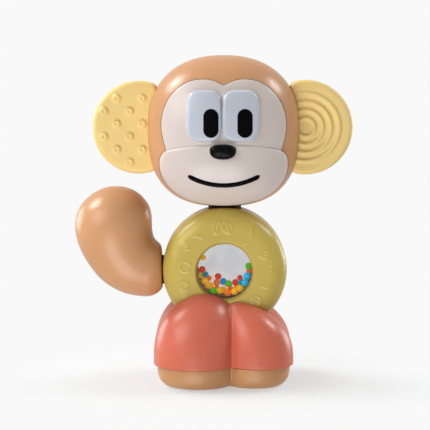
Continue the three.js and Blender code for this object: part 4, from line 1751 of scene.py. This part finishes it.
@dataclass
class NubbedEar(Ear):
    """The ear with staggered nubs on both faces."""

    pitch: float = 6.3
    shift: float = 1.8
    margin: float = 4.0
    root_margin: float = 7.3
    nub: float = 2.1
    nub_height: float = 1.2

    def pin(self) -> bpy.types.Object:
        """One pin through the ear with a dimpled nub at each end.

        Returns:
            The closed pin.
        """
        half = self.thickness / 2
        dome = [(0, half + self.nub_height - 0.6), (0.6, half + self.nub_height - 0.4),
                (1.05, half + self.nub_height), (1.5, half + self.nub_height - 0.1),
                (self.nub, half + 0.3), (self.nub + 0.1, half - 0.3)]
        profile = np.array([*dome, *[(radius, -station) for radius, station in reversed(dome)]])
        return turned("nub", profile, Axis.Y, (0, 0, 0), 32)

    def build(self) -> None:
        """Builds the ear with its nubs."""
        recipe = Recipe("staggered_nubs")
        room, wide, limit = recipe.asks("Room"), recipe.asks("Grid"), recipe.asks("Root limit")
        shift, place = recipe.asks("Shift", "Vector"), recipe.asks("Place", "Vector")
        count = recipe.asks("Count", "Int")
        grid = recipe.node("GeometryNodeMeshGrid", None, {
            "Size X": wide, "Size Y": wide, "Vertices X": count, "Vertices Y": count})
        turned_grid = recipe.node("GeometryNodeTransform", None, {
            "Geometry": grid.outputs[0], "Rotation": (math.pi / 2, math.pi / 4, 0),
            "Translation": shift})
        spot = recipe.node("GeometryNodeInputPosition").outputs[0]
        reach = recipe.node("ShaderNodeVectorMath", {"operation": "LENGTH"}, {0: spot}).outputs["Value"]
        outward = recipe.node("ShaderNodeSeparateXYZ", None, {0: spot}).outputs[0]
        away = recipe.math("MULTIPLY", outward, float(self.side))
        outside = recipe.math("GREATER_THAN", reach, room)
        inside = recipe.math("LESS_THAN", away, limit)
        unwanted = recipe.math("MAXIMUM", outside, inside)
        kept = recipe.node("GeometryNodeDeleteGeometry", {"domain": "POINT"}, {
            "Geometry": turned_grid.outputs[0], "Selection": unwanted})
        shape = recipe.node("GeometryNodeObjectInfo", None, {"Object": recipe.asks("Nub", "Object")})
        pins = recipe.node("GeometryNodeInstanceOnPoints", None, {
            "Points": kept.outputs[0], "Instance": shape.outputs["Geometry"]})
        moved = recipe.node("GeometryNodeTransform", None, {
            "Geometry": pins.outputs[0], "Translation": place})
        pin = self.pin()
        cells = 8
        relief = recipe.serve("nubs", moved.outputs[0], EAR_YELLOW, {
            "Room": (self.radius - self.margin) * MM,
            "Grid": cells * self.pitch * math.sqrt(2) * MM, "Count": cells + 1,
            "Root limit": (self.root + self.root_margin - self.centre) * MM,
            "Shift": (-self.side * self.shift * MM, 0, self.shift * MM),
            "Place": (self.side * self.centre * MM, 0,
                      (self.places.head[2] + self.places.ear_rise) * MM),
            "Nub": pin})
        drop(pin)
        self.finish(self.plate(), relief)


@dataclass
class RidgedEar(Ear):
    """The ear with concentric ridges on both faces."""

    outer: float = 16.6
    pitch: float = 4.05
    rows: int = 4
    width: float = 2.2
    root_margin: float = 3.0
    height: float = 1.0

    def build(self) -> None:
        """Builds the ear with its ridges."""
        recipe = Recipe("concentric_ridges")
        outer, pitch = recipe.asks("Outer radius"), recipe.asks("Pitch")
        rows, width = recipe.asks("Rows", "Int"), recipe.asks("Width")
        start, depth = recipe.asks("Start"), recipe.asks("Depth")
        place = recipe.asks("Place", "Vector")
        line = recipe.node("GeometryNodeMeshLine", None, {
            "Count": rows, "Offset": (0.0, 0.0, 0.0)})
        number = recipe.node("GeometryNodeInputIndex").outputs[0]
        radius = recipe.math("SUBTRACT", outer, recipe.math("MULTIPLY", pitch, number))
        circle = recipe.node("GeometryNodeCurvePrimitiveCircle", None, {"Resolution": 160, "Radius": 1.0})
        around = recipe.node("GeometryNodeInstanceOnPoints", None, {
            "Points": line.outputs[0], "Instance": circle.outputs[0],
            "Rotation": (math.pi / 2, 0.0, math.pi if self.side > 0 else 0.0),
            "Scale": recipe.point(radius, radius, radius)})
        real = recipe.node("GeometryNodeRealizeInstances", None, {0: around.outputs[0]})
        spot = recipe.node("GeometryNodeInputPosition").outputs[0]
        outward = recipe.node("ShaderNodeSeparateXYZ", None, {0: spot}).outputs[0]
        away = recipe.math("MULTIPLY", outward, float(self.side))
        cut = recipe.node("GeometryNodeDeleteGeometry", {"domain": "POINT"}, {
            "Geometry": real.outputs[0], "Selection": recipe.math("LESS_THAN", away, start)})
        opened = recipe.node("GeometryNodeSetSplineCyclic", None, {
            "Geometry": cut.outputs[0], "Cyclic": False})
        section = recipe.node("GeometryNodeCurvePrimitiveCircle", None, {
            "Resolution": 20, "Radius": width})
        swept = recipe.node("GeometryNodeCurveToMesh", None, {
            "Curve": opened.outputs[0], "Profile Curve": section.outputs[0], "Fill Caps": True})
        faces = [recipe.node("GeometryNodeTransform", None, {
            "Geometry": swept.outputs[0], "Translation": recipe.point(0.0, level, 0.0)})
            for level in (depth, recipe.math("MULTIPLY", depth, -1.0))]
        both = recipe.node("GeometryNodeJoinGeometry")
        for face in faces:
            recipe.tree.links.new(face.outputs[0], both.inputs[0])
        moved = recipe.node("GeometryNodeTransform", None, {
            "Geometry": both.outputs[0], "Translation": place})
        half_width = self.width / 2
        relief = recipe.serve("ridges", moved.outputs[0], EAR_YELLOW, {
            "Outer radius": self.outer * MM, "Pitch": self.pitch * MM, "Rows": self.rows,
            "Width": half_width * MM, "Start": (self.root + self.root_margin - self.centre) * MM,
            "Depth": (self.thickness / 2 + self.height - half_width) * MM,
            "Place": (self.side * self.centre * MM, 0,
                      (self.places.head[2] + self.places.ear_rise) * MM)})
        self.finish(self.plate(), relief)


# ---------------------------------------------------------------- tail


@dataclass
class Tail:
    """The curled tail in two shells.

    Edge pairs run from the flat face to the tip: the inner and outer edge of each round section,
    measured from the middle of the face, away from the ring and up.
    """

    places: Places
    seam: float = 0.12
    gap: float = 0.3
    bore_depth: float = 8.0
    tip_rise: float = 0.3
    edges: tuple = (
        ((0, 10.6), (-0.5, -8.2)), ((0.7, 12.6), (0, -9.8)), ((1.9, 13.8), (3.4, -12.6)),
        ((3.1, 14.9), (9, -13.6)), ((3.8, 15.9), (20, -11.4)), ((4.3, 17.4), (30.5, -4.8)),
        ((4.7, 19.6), (38.6, 6)), ((4.9, 22.5), (42.6, 16)), ((4.9, 26), (43.1, 24.5)),
        ((6, 31.4), (40.9, 31.5)), ((9.3, 36.2), (36.2, 36.8)), ((13.6, 39.6), (31.2, 40.0)),
        ((18.4, 41.4), (26.4, 41.6)))

    def build(self) -> None:
        """Builds both shells."""
        inner = spline(np.array([pair[0] for pair in self.edges], float), 6)
        outer = spline(np.array([pair[1] for pair in self.edges], float), 6)
        turns = np.arange(96) * TAU / 96
        rings = []
        for near, far in zip(inner, outer):
            a, b = (np.array([self.places.tail_face - x, 0, self.places.tail_axis + z])
                    for x, z in (near, far))
            centre, radius = (a + b) / 2, np.linalg.norm(b - a) / 2
            across = (b - a) / np.linalg.norm(b - a)
            rings.append(centre + np.outer(np.cos(turns) * radius, across)
                         + np.outer(np.sin(turns) * radius, (0, 1, 0)))
        tip = np.mean(rings[-1], 0) + (0, 0, self.tip_rise)
        body = loft("tail_body", rings, end=tip)
        hub_low, hub_high = node_box("tail_hub")
        bar = rounded_bar((hub_high[2] - hub_low[2]) / 2 + self.gap, hub_low[0] - self.gap,
                          hub_high[0] + self.bore_depth, 0.1)
        bore = turned("bore", bar, Axis.X, (0, 0, self.places.tail_axis), 72)
        combined(body, bore, Boolean.CUT)
        for half in Half:
            name = f"tail_{half.name.lower()}"
            shell = halved(body, half, name, self.seam)
            moulded(shell, 0.5, 10)
            dressed(shell, TAN, "tail", [f"{name}_shell"])
        drop(body)


# ---------------------------------------------------------------- studio


@dataclass
class Studio:
    """Camera, floor and soft lights."""

    distance: float = 800.0
    elevation: float = 5.5
    aim: tuple[float, float, float] = (-4.25, 0.0, 82.93)
    lens: float = 133.9535
    sensor: float = 36.0
    white: float = 0.947
    fill: float = 0.23
    mirrored: float = 0.6
    light_aim: float = 0.09

    def camera(self) -> None:
        """Sets the camera square to the face and a little above it."""
        data = bpy.data.cameras.new("camera")
        data.sensor_width = self.sensor
        data.lens = self.lens
        data.clip_end = 50
        camera = bpy.data.objects.new("camera", data)
        bpy.context.scene.collection.objects.link(camera)
        tilt = math.radians(self.elevation)
        aim = Vector(self.aim) * MM
        back = Vector((0, -math.cos(tilt), math.sin(tilt)))
        camera.location = aim + back * self.distance * MM
        camera.rotation_euler = (-back).to_track_quat("-Z", "Y").to_euler()
        bpy.context.scene.camera = camera

    def light(self, name: str, place: Sequence[float], size: float, watts: float) -> None:
        """Adds one soft box aimed at the toy.

        Args:
            name: The light's name.
            place: Where it stands, in metres.
            size: Its diameter in metres.
            watts: Its power.
        """
        data = bpy.data.lights.new(name, "AREA")
        data.shape = "DISK"
        data.size = size
        data.energy = watts
        lamp = bpy.data.objects.new(name, data)
        bpy.context.scene.collection.objects.link(lamp)
        lamp.location = place
        way = Vector((0, 0, self.light_aim)) - Vector(place)
        lamp.rotation_euler = way.to_track_quat("-Z", "Y").to_euler()

    def floor(self) -> None:
        """A pale floor that fades into the white surround."""
        floor = turned("floor", np.array([(0, 0.0), (1500, 0.0), (1500, -2.0), (0, -2.0)]), Axis.Z,
                       (0, 0, 0), 96)
        shader = Shader("pale_floor")
        distance = shader.node("ShaderNodeVectorMath", operation="LENGTH")
        shader.tree.links.new(shader.place, distance.inputs[0])
        fade = shader.node("ShaderNodeMapRange", interpolation_type="SMOOTHSTEP")
        shader.feed(fade, Value=distance.outputs["Value"], From_Min=0.02, From_Max=0.13, To_Min=0.32,
                    To_Max=0)
        mottle = shader.spread(shader.noise(0.02, 2), 0, 1)
        tone = shader.tint(mottle, (0.83, 0.85, 0.86, 1), (0.845, 0.865, 0.875, 1))
        shader.feed(shader.surface, Base_Color=tone, Alpha=fade.outputs["Result"])
        shader.surface.inputs["Roughness"].default_value = 0.9
        shader.surface.inputs["Specular IOR Level"].default_value = 0.1
        floor.data.materials.append(shader.material)

    def build(self) -> None:
        """Sets up the whole studio."""
        self.camera()
        self.floor()
        self.surround()
        self.light("fill_left", (-1.05, -0.90, 0.70), 1.0, 9)
        self.light("key_left", (-0.80, 0.16, 0.92), 0.42, 9)
        self.light("key_right", (0.86, 0.16, 0.86), 0.36, 5.5)
        self.light("rim_left", (-0.90, 0.60, 0.20), 0.5, 3)
        self.light("rim_right", (0.90, 0.60, 0.20), 0.5, 3.2)
        self.light("bounce_front", (-0.10, -0.50, -0.32), 0.5, 2.6)

    def surround(self) -> None:
        """A surround that is white to the camera, softer in reflections and dim as a light."""
        world = bpy.data.worlds.new("surround")
        world.use_nodes = True
        tree = world.node_tree
        ground = tree.nodes["Background"]
        ground.inputs["Color"].default_value = (1, 1, 1, 1)
        path = tree.nodes.new("ShaderNodeLightPath")
        mirrored = tree.nodes.new("ShaderNodeMath")
        mirrored.operation = "MULTIPLY_ADD"
        mirrored.inputs[1].default_value = self.mirrored
        tree.links.new(path.outputs["Is Glossy Ray"], mirrored.inputs[0])
        tree.links.new(path.outputs["Is Camera Ray"], mirrored.inputs[2])
        level = tree.nodes.new("ShaderNodeMapRange")
        level.inputs["To Min"].default_value = self.fill
        level.inputs["To Max"].default_value = self.white
        tree.links.new(mirrored.outputs[0], level.inputs["Value"])
        tree.links.new(level.outputs["Result"], ground.inputs["Strength"])
        bpy.context.scene.world = world
        bpy.context.scene.view_settings.view_transform = "Standard"


def main() -> None:
    """Builds the studio and then the toy, section by section."""
    logging.basicConfig(level=logging.INFO, format="%(message)s")
    Studio().build()
    places = Places.read()
    ring = Ring(places)
    Legs(places).build(ring.disc("saddle", ring.gap))
    ring.build()
    Hubs().build()
    Head(places).build()
    NubbedEar(places, "soft_left_ear", side=-1, centre=42.0, radius=23.0).build()
    RidgedEar(places, "soft_right_ear", side=1, centre=40.5, radius=23.5).build()
    Tail(places).build()


if __name__ == "__main__":
    main()
